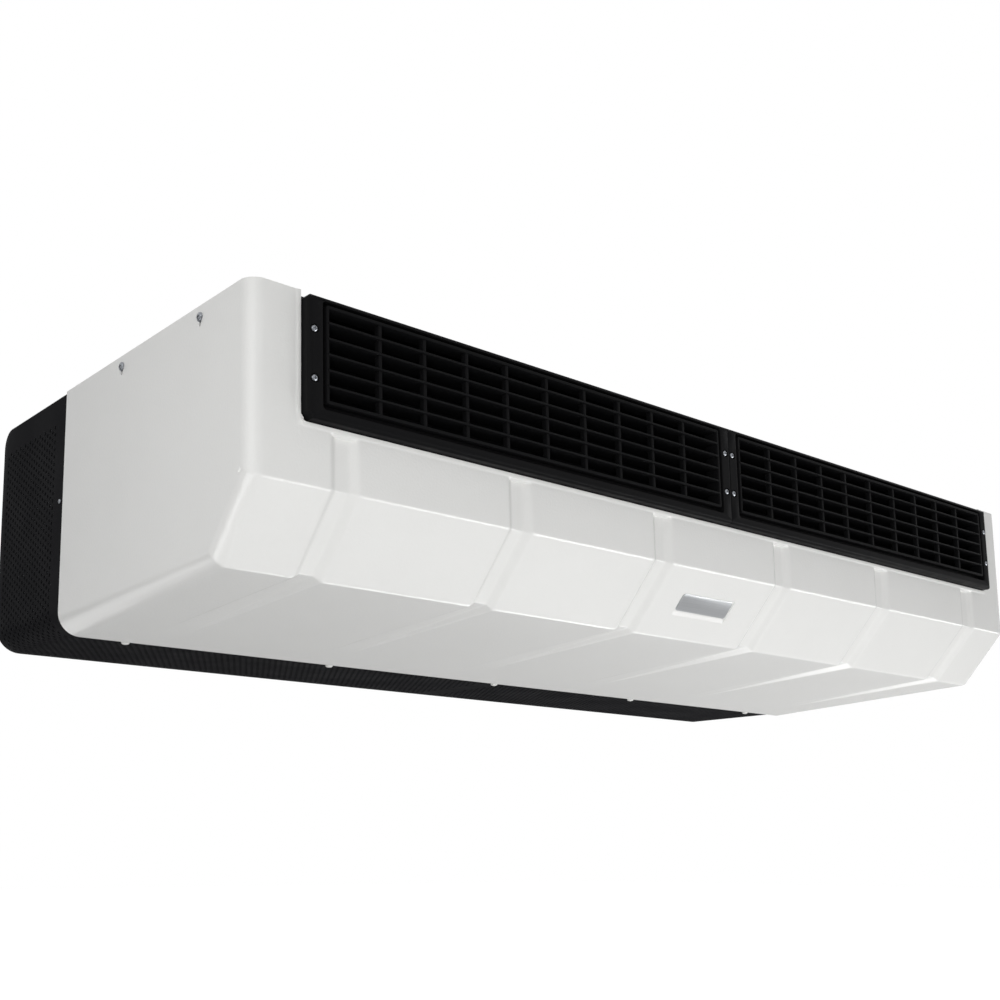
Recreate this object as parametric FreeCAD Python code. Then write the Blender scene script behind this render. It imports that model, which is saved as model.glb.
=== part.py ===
import FreeCAD, Part
import math
import os

os.makedirs("parts", exist_ok=True)

# Ceiling-hung dual blower evaporator. X runs along the unit, +Y to the rear, +Z up to the ceiling.
# The origin is the middle of the ceiling bolt pattern, on the ceiling plane.

# Casing, in millimetres
unit_length = 1219.2
shell_depth = 380.5
guard_depth = 176.3
overall_depth = shell_depth + guard_depth
front_y = -overall_depth / 2
shell_rear_y = front_y + shell_depth
guard_rear_y = shell_rear_y + guard_depth

# Front shell, a thermoformed sheet
shell_wall = 3.0
band_height = 174.9
band_lean = 6.0
facet_drop = 67.9
facet_run = 59.2
bottom_fall = 18.4
end_radius = 15.0
bottom_radius = 24.0
crease_radius = 5.0
groove_count = 6
groove_end_margin = 96.1
groove_width = 30.0
groove_depth = 5.5
groove_side_run = 7.0
groove_fade = 0.62
groove_mouth = 2.0
badge_length = 84.0
badge_height = 25.4
badge_thickness = 1.0
badge_recess = 1.4
badge_margin = 2.0

# Discharge grilles
grille_end_margin = 52.3
grille_top = 7.7
grille_height = 106.5
grille_proud = 14.0
grille_flange = 18.5
ring_top_margin = 5.9
ring_bottom_margin = 14.3
ring_width = 3.0
ring_gap = 3.6
ring_gap_depth = 9.0
grille_corner_clip = 7.0
grille_edge_radius = 4.0
grille_wall = 2.6
blade_rows = 6
blade_thickness = 1.8
blade_chord = 24.0
blade_lead = 0.8
bar_cells = 10
bar_width = 2.4
bar_depth = 6.0
bar_setback = 1.2
end_cell_extra = 6.2
middle_cell_extra = 2.2
notch_clearance = 1.0
lip_width = 4.6
lip_height = 1.5

# Return-air guard and rear panel
guard_sheet = 1.2
guard_top = 2.7
guard_set = 2.9
guard_bend_radius = 27.0
guard_rear_round = 20.0
guard_flange = 14.0
guard_inset = 0.1
guard_gap = 0.4
rear_sheet = 1.2
dish_depth = 8.0
dish_top = 71.0
dish_bottom_margin = 15.3
dish_end_margin = 6.0
dish_corner = 24.0
drain_hole_gap = 1.0

# Chassis sheets
strap_thickness = 4.0
strap_width = 50.0
strap_end_margin = 20.0
pattern_end_margin = 101.6
pattern_y = 406.4
slot_half_width = 4.5
slot_length = 24.0
access_radius = 16.0
panel_sheet = 1.5
end_frame_sheet = 1.5
sheet_gap = 0.3
frame_sheet = 1.2
frame_return = 16.0
window_margin = 3.0
rail_sheet = 1.5
rail_width = 30.0
rail_height = 14.0

# Blowers
blower_shift = 21.35
axis_depth = 160.0
axis_drop = 112.0
wheel_radius = 62.0
wheel_width = 80.0
wheel_blades = 28
wheel_blade_depth = 11.0
wheel_blade_sheet = 0.9
wheel_blade_sweep = 0.75
wheel_blade_curve = 0.22
wheel_disc = 2.0
wheel_hub_radius = 11.0
wheel_hub_length = 20.0
shaft_radius = 4.0
running_clearance = 0.05
hub_clearance = 0.02
motor_radius = 43.0
motor_length = 96.0
motor_cap_radius = 34.0
motor_cap_length = 7.0
bearing_radius = 11.0
bearing_length = 5.0
scroll_wall = 1.6
scroll_start = 70.0
scroll_step = 8.0
tongue_rise = 14.6
wheel_side_gap = 6.0
motor_side_gap = 6.0
inlet_radius = 50.0
inlet_flare = 8.0
inlet_sheet = 1.2
lug_length = 16.0
lug_thickness = 3.0
band_width = 28.0
band_sheet = 2.0
foot_length = 16.0

# Discharge plenums
plenum_sheet = 1.0
plenum_depth = 56.0
plenum_drop = 108.0

# Coil
coil_end_room = 89.6
coil_front = 300.0
coil_thickness = 50.0
coil_top = 12.0
coil_seat = 5.0
fin_ribs = 52
fin_groove_depth = 3.0
fin_rib_share = 0.55
tube_sheet = 2.0
tube_sheet_margin = 6.0
tube_radius = 4.8
tube_clearance = 0.1
tube_rows = 2
tube_levels = 8
tube_edge = 12.6
header_radius = 11.1
header_offset = 35.0
suction_radius = 9.525
liquid_radius = 4.76
port_reach = 46.0
suction_drop = 100.0
suction_bend = 10.0
header_gap = 0.5
wire_radius = 7.5
liquid_drop = 150.0
distributor_radius = 8.0
distributor_length = 14.0
feed_radius = 2.4
feed_step = 7.0
feed_reach = 9.0
feed_bend = 5.0
valve_setback = 46.0
valve_half = 13.0
valve_neck_radius = 6.5
valve_neck_top = 20.0
valve_head_radius = 15.0
valve_head_top = 25.0
valve_cap_radius = 8.0
valve_cap_bottom = 22.0
port_length = 28.0
collar_length = 4.0
collar_rise = 2.2
grommet_wall = 5.0
grommet_length = 7.0
grommet_rim = 2.0

# Filter
filter_thickness = 12.0
filter_gap = 1.0
filter_channel = 14.0
filter_sheet = 1.0

# Drain pan
pan_front = 284.0
pan_rear = 364.0
pan_height = 28.0
pan_rise = 4.8
pan_wall = 2.0
pan_overhang = 40.0
spigot_radius = 9.5
spigot_bore = 7.0
spigot_inset = 90.0
spigot_flange_radius = 15.0
spigot_flange = 3.0
spigot_reach = 36.0

# Fasteners
screw_head_radius = 4.2
screw_head_height = 2.6
screw_radius = 2.0
screw_hole_radius = 2.3
screw_crown_radius = 2.9
screw_reach = 4.0
grille_screw_spacing = 44.0
side_screw_depths = (86.5, 246.2)
side_screw_drop = 13.7
bottom_screw_count = 5
bottom_screw_end = 82.8
bottom_screw_set = 10.0
guard_screw_drops = (118.0,)
guard_screw_size = 0.6

# Electrical pieces
terminal_ways = 6
terminal_pitch = 15.0
terminal_depth = 24.0
terminal_height = 14.0
terminal_wall = 2.0
resistor_setback = 60.0
resistor_length = 60.0
resistor_depth = 30.0
resistor_post_radius = 5.0
resistor_drop = 34.0

# Heights and depths that several pieces share
half_length = unit_length / 2
grille_length = half_length - grille_end_margin
groove_pitch = (unit_length - 2 * groove_end_margin) / (groove_count - 1)
bottom_screw_pitch = (unit_length - 2 * bottom_screw_end) / (bottom_screw_count - 1)
pattern_x = unit_length - 2 * pattern_end_margin
blower_x = grille_length / 2 + blower_shift
coil_half_length = half_length - coil_end_room
pan_half_length = coil_half_length + pan_overhang
spigot_x = pan_half_length - spigot_inset
crease_drop = band_height + facet_drop
rear_drop = crease_drop + bottom_fall
guard_bottom = rear_drop - guard_set
dish_bottom = guard_bottom - dish_bottom_margin
pan_bottom = crease_drop - pan_rise
pan_top = pan_bottom - pan_height
coil_bottom = pan_top + coil_seat
tube_pitch = (coil_bottom - coil_top - 2 * tube_edge) / (tube_levels - 1)
panel_top = strap_thickness
panel_bottom = panel_top + panel_sheet
frame_front = front_y + shell_wall + sheet_gap
frame_back = frame_front + frame_sheet
plenum_back = frame_back + plenum_depth
axis_y = front_y + axis_depth
axis_z = -axis_drop
end_frame_outer = half_length - shell_wall - sheet_gap
end_frame_inner = end_frame_outer - end_frame_sheet
guard_half = half_length - guard_inset
guard_front_y = shell_rear_y + guard_gap
ring_centre_z = -grille_top - (grille_height + ring_top_margin - ring_bottom_margin) / 2
port_y = guard_rear_y + rear_sheet + port_reach
frame_low = -(grille_top + grille_height)
header_x = coil_half_length + header_offset
suction_x = header_x + header_radius + suction_bend + header_gap
liquid_x = coil_half_length + feed_reach + feed_step / 2
end_frame_low = -(crease_drop - end_radius)


def vec(x, y, z):
    return FreeCAD.Vector(x, y, z)


def box(low, high):
    size = [b - a for a, b in zip(low, high)]
    return Part.makeBox(size[0], size[1], size[2], vec(*low))


def rod(radius, start, end):
    along = vec(*end) - vec(*start)
    return Part.makeCylinder(radius, along.Length, vec(*start), along)


def tube(outer, inner, start, end):
    return rod(outer, start, end).cut(rod(inner, start, end))


def fused(shapes):
    return shapes[0].multiFuse(shapes[1:]).removeSplitter()


def group(shapes):
    return Part.makeCompound(shapes)


def mirrored(shape):
    return shape.mirror(vec(0, 0, 0), vec(1, 0, 0))


def offset_outline(points, distances):
    """Move each side of a counter-clockwise outline inwards by its own distance."""
    lines = []
    for i, (a, b) in enumerate(points):
        c, d = points[(i + 1) % len(points)]
        length = math.hypot(c - a, d - b)
        along = ((c - a) / length, (d - b) / length)
        shift = distances[i]
        lines.append(((a - along[1] * shift, b + along[0] * shift), along))
    result = []
    for i, (start, along) in enumerate(lines):
        before, before_along = lines[i - 1]
        cross = before_along[0] * along[1] - before_along[1] * along[0]
        gap = (start[0] - before[0], start[1] - before[1])
        t = (gap[0] * along[1] - gap[1] * along[0]) / cross
        result.append((before[0] + before_along[0] * t, before[1] + before_along[1] * t))
    return result


def rounded_wire(points, radii, place):
    """Closed wire through the points, each corner turned by its own radius; place maps 2-D to 3-D."""
    edges = []
    count = len(points)
    starts, ends = [], []
    for i, corner in enumerate(points):
        radius = radii[i]
        if radius <= 0:
            starts.append(corner)
            ends.append(corner)
            continue
        before, after = points[i - 1], points[(i + 1) % count]
        one = ((before[0] - corner[0]), (before[1] - corner[1]))
        two = ((after[0] - corner[0]), (after[1] - corner[1]))
        one_length, two_length = math.hypot(*one), math.hypot(*two)
        one = (one[0] / one_length, one[1] / one_length)
        two = (two[0] / two_length, two[1] / two_length)
        half_angle = math.acos(one[0] * two[0] + one[1] * two[1]) / 2
        run = radius / math.tan(half_angle)
        starts.append((corner[0] + one[0] * run, corner[1] + one[1] * run))
        ends.append((corner[0] + two[0] * run, corner[1] + two[1] * run))
        middle = (one[0] + two[0], one[1] + two[1])
        middle_length = math.hypot(*middle)
        reach = radius / math.sin(half_angle) - radius
        top = (corner[0] + middle[0] / middle_length * reach, corner[1] + middle[1] / middle_length * reach)
        arc = Part.Arc(place(*starts[i]), place(*top), place(*ends[i]))
        edges.append((i, arc.toShape()))
    arcs = dict(edges)
    path = []
    for i in range(count):
        if i in arcs:
            path.append(arcs[i])
        after = (i + 1) % count
        path.append(Part.makeLine(place(*ends[i]), place(*starts[after])))
    return Part.Wire(path)


def prism(points, radii, place, along):
    return Part.Face(rounded_wire(points, radii, place)).extrude(along)


def side_prism(points, radii, x_low, x_high):
    return prism(points, radii, lambda y, z: vec(x_low, y, z), vec(x_high - x_low, 0, 0))


def front_prism(points, radii, y_low, y_high):
    return prism(points, radii, lambda x, z: vec(x, y_low, z), vec(0, y_high - y_low, 0))


def top_prism(points, radii, z_low, z_high):
    return prism(points, radii, lambda x, y: vec(x, y, z_low), vec(0, 0, z_high - z_low))


def rectangle(x_low, x_high, z_low, z_high):
    return [(x_low, z_low), (x_high, z_low), (x_high, z_high), (x_low, z_high)]


# Side outline of the shell, counter-clockwise from the front top
shell_outline = [
    (front_y, 0.0),
    (front_y - band_lean, -band_height),
    (front_y - band_lean + facet_run, -crease_drop),
    (shell_rear_y, -rear_drop),
    (shell_rear_y, 0.0),
]


def end_rounder(start, end, radius, skin, side):
    """Cutter that rounds the edge between one outer face of the shell and its end wall."""
    over = 3 * end_radius
    length = math.hypot(end[0] - start[0], end[1] - start[1])
    along = vec(0, (end[0] - start[0]) / length, (end[1] - start[1]) / length)
    inward = vec(0, -along.z, along.y)
    out = vec(side, 0, 0)
    corner = vec(side * (half_length - skin), start[0], start[1]) - along * over

    def at(outwards, inwards):
        return corner + out * outwards + inward * inwards

    short = radius * (1 - math.sqrt(0.5))
    arc = Part.Arc(at(-radius, 0), at(-short, short), at(0, radius)).toShape()
    rest = [at(0, radius), at(over, radius), at(over, -over), at(-radius, -over), at(-radius, 0)]
    lines = [Part.makeLine(a, b) for a, b in zip(rest, rest[1:])]
    return Part.Face(Part.Wire([arc] + lines)).extrude(along * (length + 2 * over))


def shell_body(skin):
    """The shell's outer form for skin 0, or its hollow for the wall thickness."""
    opening = -shell_wall if skin else 0.0
    outline = offset_outline(shell_outline, [skin, skin, skin, opening, opening])
    crease = crease_radius - skin
    body = side_prism(outline, [0, crease, crease, 0, 0], skin - half_length, half_length - skin)
    for side in (-1, 1):
        for start, end, radius in zip(outline[:3], outline[1:4], (end_radius, end_radius, bottom_radius)):
            body = body.cut(end_rounder(start, end, radius - skin, skin, side))
    return body


def groove_tool(x_centre, skin):
    """Trapezoid groove that follows the front, the facet and part of the bottom, then fades out."""
    slope = groove_side_run / groove_depth
    base = groove_width / 2 + skin * math.sqrt(1 + slope * slope)
    fade_y = shell_outline[2][0] + (shell_rear_y - shell_outline[2][0]) * groove_fade
    top_z = -grille_top - grille_height - notch_clearance - lip_width
    top_y = front_y + band_lean * top_z / band_height

    def at_depth(depth):
        moved = offset_outline(shell_outline, [depth, depth, depth, 0, 0])
        bottom = (moved[3][0] - moved[2][0], moved[3][1] - moved[2][1])
        share = (fade_y - moved[2][0]) / bottom[0]
        first_y = top_y + depth * math.hypot(band_lean, band_height) / band_height
        return [(first_y, top_z), moved[1], moved[2], (fade_y, moved[2][1] + bottom[1] * share)]

    def width_at(depth):
        return base - slope * depth

    outer = at_depth(-groove_mouth)
    inner = at_depth(groove_depth + skin)
    end_depth = skin - groove_mouth / 4
    inner[3] = at_depth(end_depth)[3]
    inner_widths = [width_at(groove_depth + skin)] * 3 + [width_at(end_depth)]
    outer_widths = [width_at(-groove_mouth)] * 4

    def corner(side, points, widths, i):
        return vec(x_centre + side * widths[i], points[i][0], points[i][1])

    faces = []
    rings = []
    for i in range(4):
        rings.append([corner(-1, outer, outer_widths, i), corner(1, outer, outer_widths, i),
                      corner(1, inner, inner_widths, i), corner(-1, inner, inner_widths, i)])
    for first, second in zip(rings, rings[1:]):
        for k in range(4):
            n = (k + 1) % 4
            faces.append(Part.Face(Part.makePolygon([first[k], first[n], second[n], second[k], first[k]])))
    for ring in (rings[0], rings[-1]):
        faces.append(Part.Face(Part.makePolygon(ring + ring[:1])))
    tool = Part.makeSolid(Part.makeShell(faces))
    if tool.Volume < 0:
        tool.reverse()
    return tool


def groove_centres():
    return [(k - (groove_count - 1) / 2) * groove_pitch for k in range(groove_count)]


def facet_frame():
    """Middle of the sloped facet's face with its direction down the slope and its inward normal."""
    start, end = shell_outline[1], shell_outline[2]
    length = math.hypot(end[0] - start[0], end[1] - start[1])
    down = vec(0, (end[0] - start[0]) / length, (end[1] - start[1]) / length)
    middle = vec(0, (start[0] + end[0]) / 2, (start[1] + end[1]) / 2)
    return middle, down, vec(0, -down.z, down.y)


def facet_slab(length, height, inner, outer):
    """Flat slab centred on the facet, from one depth below its face to another."""
    middle, down, inward = facet_frame()
    corner = middle + vec(-length / 2, 0, 0) - down * (height / 2) + inward * outer
    far = vec(length, 0, 0)
    points = [corner, corner + far, corner + far + down * height, corner + down * height, corner]
    return Part.Face(Part.makePolygon(points)).extrude(inward * (inner - outer))


def bottom_screw_places():
    y = guard_front_y + bottom_screw_set
    return [((k - (bottom_screw_count - 1) / 2) * bottom_screw_pitch, y) for k in range(bottom_screw_count)]


def side_screw_places():
    return [(front_y + depth, -side_screw_drop) for depth in side_screw_depths]


def notch_outline(grow):
    half = grille_length + notch_clearance + grow
    low = -grille_top - grille_height - notch_clearance - grow
    clip = grille_corner_clip + grow * (2 - math.sqrt(2))
    return [(clip - half, low), (half - clip, low), (half, low + clip), (half, shell_wall),
            (-half, shell_wall), (-half, low + clip)]


def notch_lip():
    """Edge of the grille notch, turned slightly outwards: a low rim that follows the leaning front."""
    outer, inner = notch_outline(lip_width), notch_outline(0.0)
    ring = front_prism(outer, [0] * len(outer), front_y - 3 * band_lean, front_y + shell_wall / 2)
    ring = ring.cut(front_prism(inner, [0] * len(inner), front_y - 4 * band_lean, front_y + shell_wall))
    low_y = front_y - band_lean
    slab = [(front_y - lip_height, 0.0), (low_y - lip_height, -band_height), (low_y + 1, -band_height),
            (front_y + 1, 0.0)]
    return ring.common(side_prism(slab, [0] * 4, -half_length, half_length))


def front_shell():
    outer = shell_body(0.0)
    hollow = shell_body(shell_wall)
    outer = outer.cut(group([groove_tool(x, 0.0) for x in groove_centres()]))
    hollow = hollow.cut(group([groove_tool(x, shell_wall) for x in groove_centres()]))
    hollow = hollow.cut(facet_slab(badge_length + 2 * badge_margin + 2 * shell_wall,
                                   badge_height + 2 * badge_margin + 2 * shell_wall,
                                   shell_wall + badge_recess, 0.0))
    shell = outer.cut(hollow)
    shell = shell.cut(facet_slab(badge_length + 2 * badge_margin, badge_height + 2 * badge_margin,
                                 badge_recess, -crease_radius))
    outline = notch_outline(0.0)
    notch = front_prism(outline, [0] * len(outline), front_y - 2 * band_lean, front_y + 4 * shell_wall)
    shell = shell.cut(notch).fuse(notch_lip())
    start, end = outline[0], outline[1]
    ledge_front = front_y + band_lean * start[1] / band_height + shell_wall / 2
    shell = shell.fuse(box((start[0], ledge_front, start[1] - shell_wall),
                           (end[0], frame_front - sheet_gap, start[1])))
    holes = []
    for y, z in side_screw_places():
        holes.append(rod(screw_hole_radius, (-half_length - 1, y, z), (half_length + 1, y, z)))
    return shell.cut(group(holes)).removeSplitter()


def badge_plate():
    return facet_slab(badge_length, badge_height, badge_recess, badge_recess - badge_thickness)


def grille_screw_places(side):
    near = grille_flange / 2
    places = []
    for x in (near, grille_length - near):
        for dz in (-grille_screw_spacing / 2, grille_screw_spacing / 2):
            places.append((side * x, ring_centre_z + dz))
    return places


def bar_offsets(span):
    """Distances of the upright bars from the ring's end: end and middle cells are a little wider."""
    pitch = (span - 2 * end_cell_extra - 2 * middle_cell_extra) / bar_cells
    widths = [pitch] * bar_cells
    for i in (0, bar_cells - 1):
        widths[i] += end_cell_extra
    for i in (bar_cells // 2 - 1, bar_cells // 2):
        widths[i] += middle_cell_extra
    return [sum(widths[:i]) for i in range(1, bar_cells)]


def discharge_grille():
    """Right-hand grille, one moulding: flange, sunk gap, inner ring, blades and upright bars."""
    front = front_y - grille_proud
    back = frame_front
    top, low = -grille_top, -grille_top - grille_height
    clip = grille_corner_clip
    length = grille_length - sheet_gap / 2
    start = sheet_gap / 2
    outline = [(start, low), (length - clip, low), (length, low + clip),
               (length, top - clip), (length - clip, top), (start, top)]
    body = front_prism(outline, [0] * 6, front, back)
    edges = [e for e in body.Edges
             if all(abs(v.Y - front) < 0.01 for v in e.Vertexes)
             and not all(abs(v.X - start) < 0.01 for v in e.Vertexes)]
    body = body.makeFillet(min(grille_edge_radius, grille_proud / 2), edges)
    ring_left, ring_right = grille_flange, grille_length - grille_flange
    ring_high, ring_low = top - ring_top_margin, low + ring_bottom_margin
    half = ring_width / 2
    gap_high = min(ring_gap, ring_top_margin - half - grille_wall / 2)
    outer_hole = rectangle(ring_left - half - ring_gap, ring_right + half + ring_gap,
                           ring_low - half - ring_gap, ring_high + half + gap_high)
    ring_outer = rectangle(ring_left - half, ring_right + half, ring_low - half, ring_high + half)
    ring_inner = rectangle(ring_left + half, ring_right - half, ring_low + half, ring_high - half)
    gap_floor = front + ring_gap_depth
    sunk = front_prism(outer_hole, [ring_gap] * 4, front, gap_floor)
    sunk = sunk.cut(front_prism(ring_outer, [half] * 4, front, gap_floor))
    body = body.cut(sunk)
    body = body.cut(front_prism(ring_inner, [0] * 4, front - 1, back + 1))
    pieces = [body]
    ring_span = ring_right - ring_left
    row_pitch = (ring_high - ring_low) / blade_rows
    for row in range(1, blade_rows):
        z = ring_low + row * row_pitch
        pieces.append(box((ring_left, front - blade_lead, z - blade_thickness / 2),
                          (ring_right, front - blade_lead + blade_chord, z + blade_thickness / 2)))
    for offset in bar_offsets(ring_span):
        x = ring_left + offset
        pieces.append(box((x - bar_width / 2, front + bar_setback, ring_low),
                          (x + bar_width / 2, front + bar_setback + bar_depth, ring_high)))
    tools = [rod(screw_hole_radius, (x, front - 1, z), (x, back + 1, z)) for x, z in grille_screw_places(1)]
    pocket_wide = (grille_flange - half - ring_gap) / 2 - grille_wall
    pocket_half = grille_screw_spacing / 2 - 2 * screw_head_radius
    near = grille_flange / 2
    for x in (near, grille_length - near):
        tools.append(box((x - pocket_wide / 2, gap_floor + grille_wall, ring_centre_z - pocket_half),
                         (x + pocket_wide / 2, back + 1, ring_centre_z + pocket_half)))
    return fused(pieces).cut(group(tools))


def screw(place, inward, shank, size=1.0):
    """Pan-head screw: a low domed head on its seat and a plain shank into the work."""
    seat, axis = vec(*place), vec(*inward)
    rim = size * screw_head_height / 2
    head = Part.makeCylinder(size * screw_head_radius, rim, seat - axis * rim, axis)
    crown = Part.makeCone(size * screw_crown_radius, size * screw_head_radius, rim,
                          seat - axis * 2 * rim, axis)
    head = head.fuse(crown)
    stem = Part.makeCylinder(size * screw_radius, shank, seat, axis)
    return head.fuse(stem)


def grille_screws():
    seat = front_y - grille_proud
    shank = frame_back - seat + screw_reach
    places = grille_screw_places(1) + grille_screw_places(-1)
    return group([screw((x, seat, z), (0, 1, 0), shank) for x, z in places])


def shell_side_screws():
    shank = half_length - end_frame_inner + screw_reach
    result = []
    for side in (-1, 1):
        for y, z in side_screw_places():
            result.append(screw((side * half_length, y, z), (-side, 0, 0), shank))
    return group(result)


def bottom_screws():
    shank = guard_sheet + rail_sheet + screw_reach
    return group([screw((x, y, -guard_bottom), (0, 0, 1), shank) for x, y in bottom_screw_places()])


def guard_section(skin):
    """Outline of the guard seen from the front: two ends and the bottom, bent round at the corners."""
    half = guard_half - skin
    low = -guard_bottom + skin
    radius = guard_bend_radius - skin
    top = -guard_top if skin == 0 else 0.0
    return rectangle(-half, half, low, top), [radius, radius, 0, 0]


def return_air_guard():
    outer, outer_radii = guard_section(0.0)
    inner, inner_radii = guard_section(guard_sheet)
    tray = front_prism(outer, outer_radii, guard_front_y, guard_rear_y)
    hollow_rear = guard_rear_y - guard_sheet
    tray = tray.cut(front_prism(inner, inner_radii, guard_front_y - 1, hollow_rear))
    window, window_radii = guard_section(guard_flange)
    tray = tray.cut(front_prism(window, window_radii, hollow_rear - 1, guard_rear_y + 1))
    pieces = [tray]
    for side in (-1, 1):
        low_x, high_x = sorted((side * (guard_half - guard_flange), side * (guard_half - guard_sheet / 2)))
        pieces.append(box((low_x, guard_front_y, -guard_top - guard_sheet),
                          (high_x, guard_rear_y, -guard_top)))
    guard = fused(pieces)
    turn_y, turn_z = guard_rear_y - guard_rear_round, -guard_top - guard_rear_round
    square = side_prism(rectangle(turn_y, guard_rear_y + 1, turn_z, 1), [0] * 4,
                        -half_length - 1, half_length + 1)
    keep = rod(guard_rear_round, (-half_length - 2, turn_y, turn_z), (half_length + 2, turn_y, turn_z))
    guard = guard.cut(square.cut(keep))
    holes = []
    for x, y in bottom_screw_places():
        holes.append(rod(screw_hole_radius, (x, y, -guard_bottom - 1), (x, y, -guard_bottom + 3)))
    for side in (-1, 1):
        for y, z in guard_screw_places():
            skin_x = side * guard_half
            holes.append(rod(guard_screw_size * screw_hole_radius, (skin_x - 3 * side, y, z),
                             (skin_x + side, y, z)))
    return guard.cut(group(holes))


def guard_screw_places():
    y = guard_front_y + guard_flange / 2
    return [(y, -drop) for drop in guard_screw_drops]


def guard_screws():
    shank = guard_half - end_frame_inner + screw_reach
    result = []
    for side in (-1, 1):
        for y, z in guard_screw_places():
            result.append(screw((side * guard_half, y, z), (-side, 0, 0), shank, guard_screw_size))
    return group(result)


def rear_holes():
    """Where the lines, the wires and the drains pass the rear panel: x, z, radius."""
    drain_z = -(pan_bottom - pan_wall - spigot_radius)
    return {
        "suction": (suction_x, -suction_drop, suction_radius + grommet_wall / 2),
        "liquid": (liquid_x, -liquid_drop, liquid_radius + grommet_wall / 2),
        "wires": (0.0, -suction_drop, wire_radius + grommet_wall),
        "left_drain": (-spigot_x, drain_z, spigot_radius + drain_hole_gap),
        "right_drain": (spigot_x, drain_z, spigot_radius + drain_hole_gap),
    }


def rear_panel():
    """Pressed steel closing plate: a flat rim and a shallow dish pressed to the rear."""
    half = half_length - dish_end_margin / 2
    rim_low, rim_high = -guard_bottom + 2 * guard_sheet, -panel_bottom
    plate = front_prism(rectangle(-half, half, rim_low, rim_high),
                        [guard_bend_radius, guard_bend_radius, guard_rear_round, guard_rear_round],
                        guard_rear_y, guard_rear_y + rear_sheet)

    def dish(skin, y_low):
        wide = half - dish_end_margin - skin
        return front_prism(rectangle(-wide, wide, -dish_bottom + skin, -dish_top - skin),
                           [dish_corner] * 4, y_low, guard_rear_y + rear_sheet + dish_depth - skin)

    plate = plate.fuse(dish(0.0, guard_rear_y))
    plate = plate.cut(dish(rear_sheet, guard_rear_y - 1))
    holes = []
    for x, z, radius in rear_holes().values():
        holes.append(rod(radius, (x, guard_rear_y - 1, z), (x, guard_rear_y + 2 * dish_depth, z)))
    return plate.cut(group(holes))


def slot_places():
    return [(x, y) for x in (-pattern_x / 2, pattern_x / 2) for y in (-pattern_y / 2, pattern_y / 2)]


def slot_tool(x, y):
    run = slot_length / 2
    outline = rectangle(x - run, x + run, y - slot_half_width, y + slot_half_width)
    tight = slot_half_width - 0.001
    return top_prism(outline, [tight] * 4, -strap_thickness - 1, 1)


def mounting_strap(side):
    x = side * pattern_x / 2
    strap = box((x - strap_width / 2, front_y + strap_end_margin, -strap_thickness),
                (x + strap_width / 2, guard_rear_y - strap_end_margin, 0))
    return strap.cut(group([slot_tool(*place) for place in slot_places()]))


def top_panel():
    shell_half = end_frame_inner - sheet_gap
    guard_zone_half = guard_half - guard_sheet - sheet_gap
    step_y = guard_front_y + sheet_gap
    corner_x, corner_y = shell_half - end_radius, front_y + end_radius + shell_wall
    half_outline = [(corner_x, frame_back), (shell_half, corner_y), (shell_half, step_y),
                    (guard_zone_half, step_y), (guard_zone_half, guard_rear_y - guard_rear_round),
                    (shell_half - guard_rear_round, guard_rear_y - guard_sheet)]
    outline = half_outline + [(-x, y) for x, y in half_outline[::-1]]
    panel = top_prism(outline, [0] * len(outline), -panel_bottom, -panel_top)
    flange_half = shell_half - guard_rear_round
    flange = box((-flange_half, guard_rear_y - panel_sheet, -panel_bottom - 3 * guard_flange / 2),
                 (flange_half, guard_rear_y, -panel_bottom + panel_sheet / 2))
    panel = panel.fuse(flange)
    holes = [rod(access_radius, (x, y, -panel_bottom - 1), (x, y, 0)) for x, y in slot_places()]
    return panel.cut(group(holes)).removeSplitter()


def end_frame():
    """Right-hand end plate inside the shell; the shell, the coil and the drain pan hang from it."""
    front = front_y + end_radius + sheet_gap
    rear = guard_front_y + rail_width / 2
    pan_line = front_y + pan_front
    outline = [(front, frame_low), (pan_line - rail_width, end_frame_low + rail_width),
               (pan_line, end_frame_low), (rear, end_frame_low), (rear, -panel_bottom - sheet_gap),
               (shell_rear_y - 1, -panel_bottom - sheet_gap), (shell_rear_y - 1, -1), (front, -1)]
    plate = side_prism(outline, [0] * len(outline), end_frame_inner, end_frame_outer)
    holes = []
    bored = [(place, 1.0) for place in side_screw_places()]
    bored += [(place, guard_screw_size) for place in guard_screw_places()]
    for (y, z), size in bored:
        holes.append(rod(size * screw_hole_radius, (end_frame_inner - 1, y, z), (end_frame_outer + 1, y, z)))
    window = rectangle(axis_y - wheel_radius, axis_y + wheel_radius, axis_z - wheel_radius / 2,
                       axis_z + wheel_radius)
    holes.append(side_prism(window, [end_radius] * 4, end_frame_inner - 1, end_frame_outer + 1))
    return plate.cut(group(holes))


def discharge_frame():
    """Sheet behind both grilles with one window for each and a return along its lower edge."""
    half = half_length - end_radius - shell_wall
    sheet = box((-half, frame_front, frame_low), (half, frame_back, -panel_top))
    back_turn = box((-half, frame_front, frame_low),
                    (half, frame_back + frame_return, frame_low + frame_sheet))
    sheet = sheet.fuse(back_turn)
    margin = ring_width / 2 + window_margin
    tools = []
    for side in (-1, 1):
        near, far = grille_flange - margin, grille_length - grille_flange + margin
        low_x, high_x = sorted((side * near, side * far))
        low = -grille_top - grille_height + ring_bottom_margin - margin
        high = -grille_top - ring_top_margin + margin / 2
        tools.append(box((low_x, frame_front - 1, low), (high_x, frame_back + 1, high)))
        for x, z in grille_screw_places(side):
            tools.append(rod(screw_radius, (x, frame_front - 1, z), (x, frame_back + 1, z)))
    return sheet.cut(group(tools))


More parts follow.
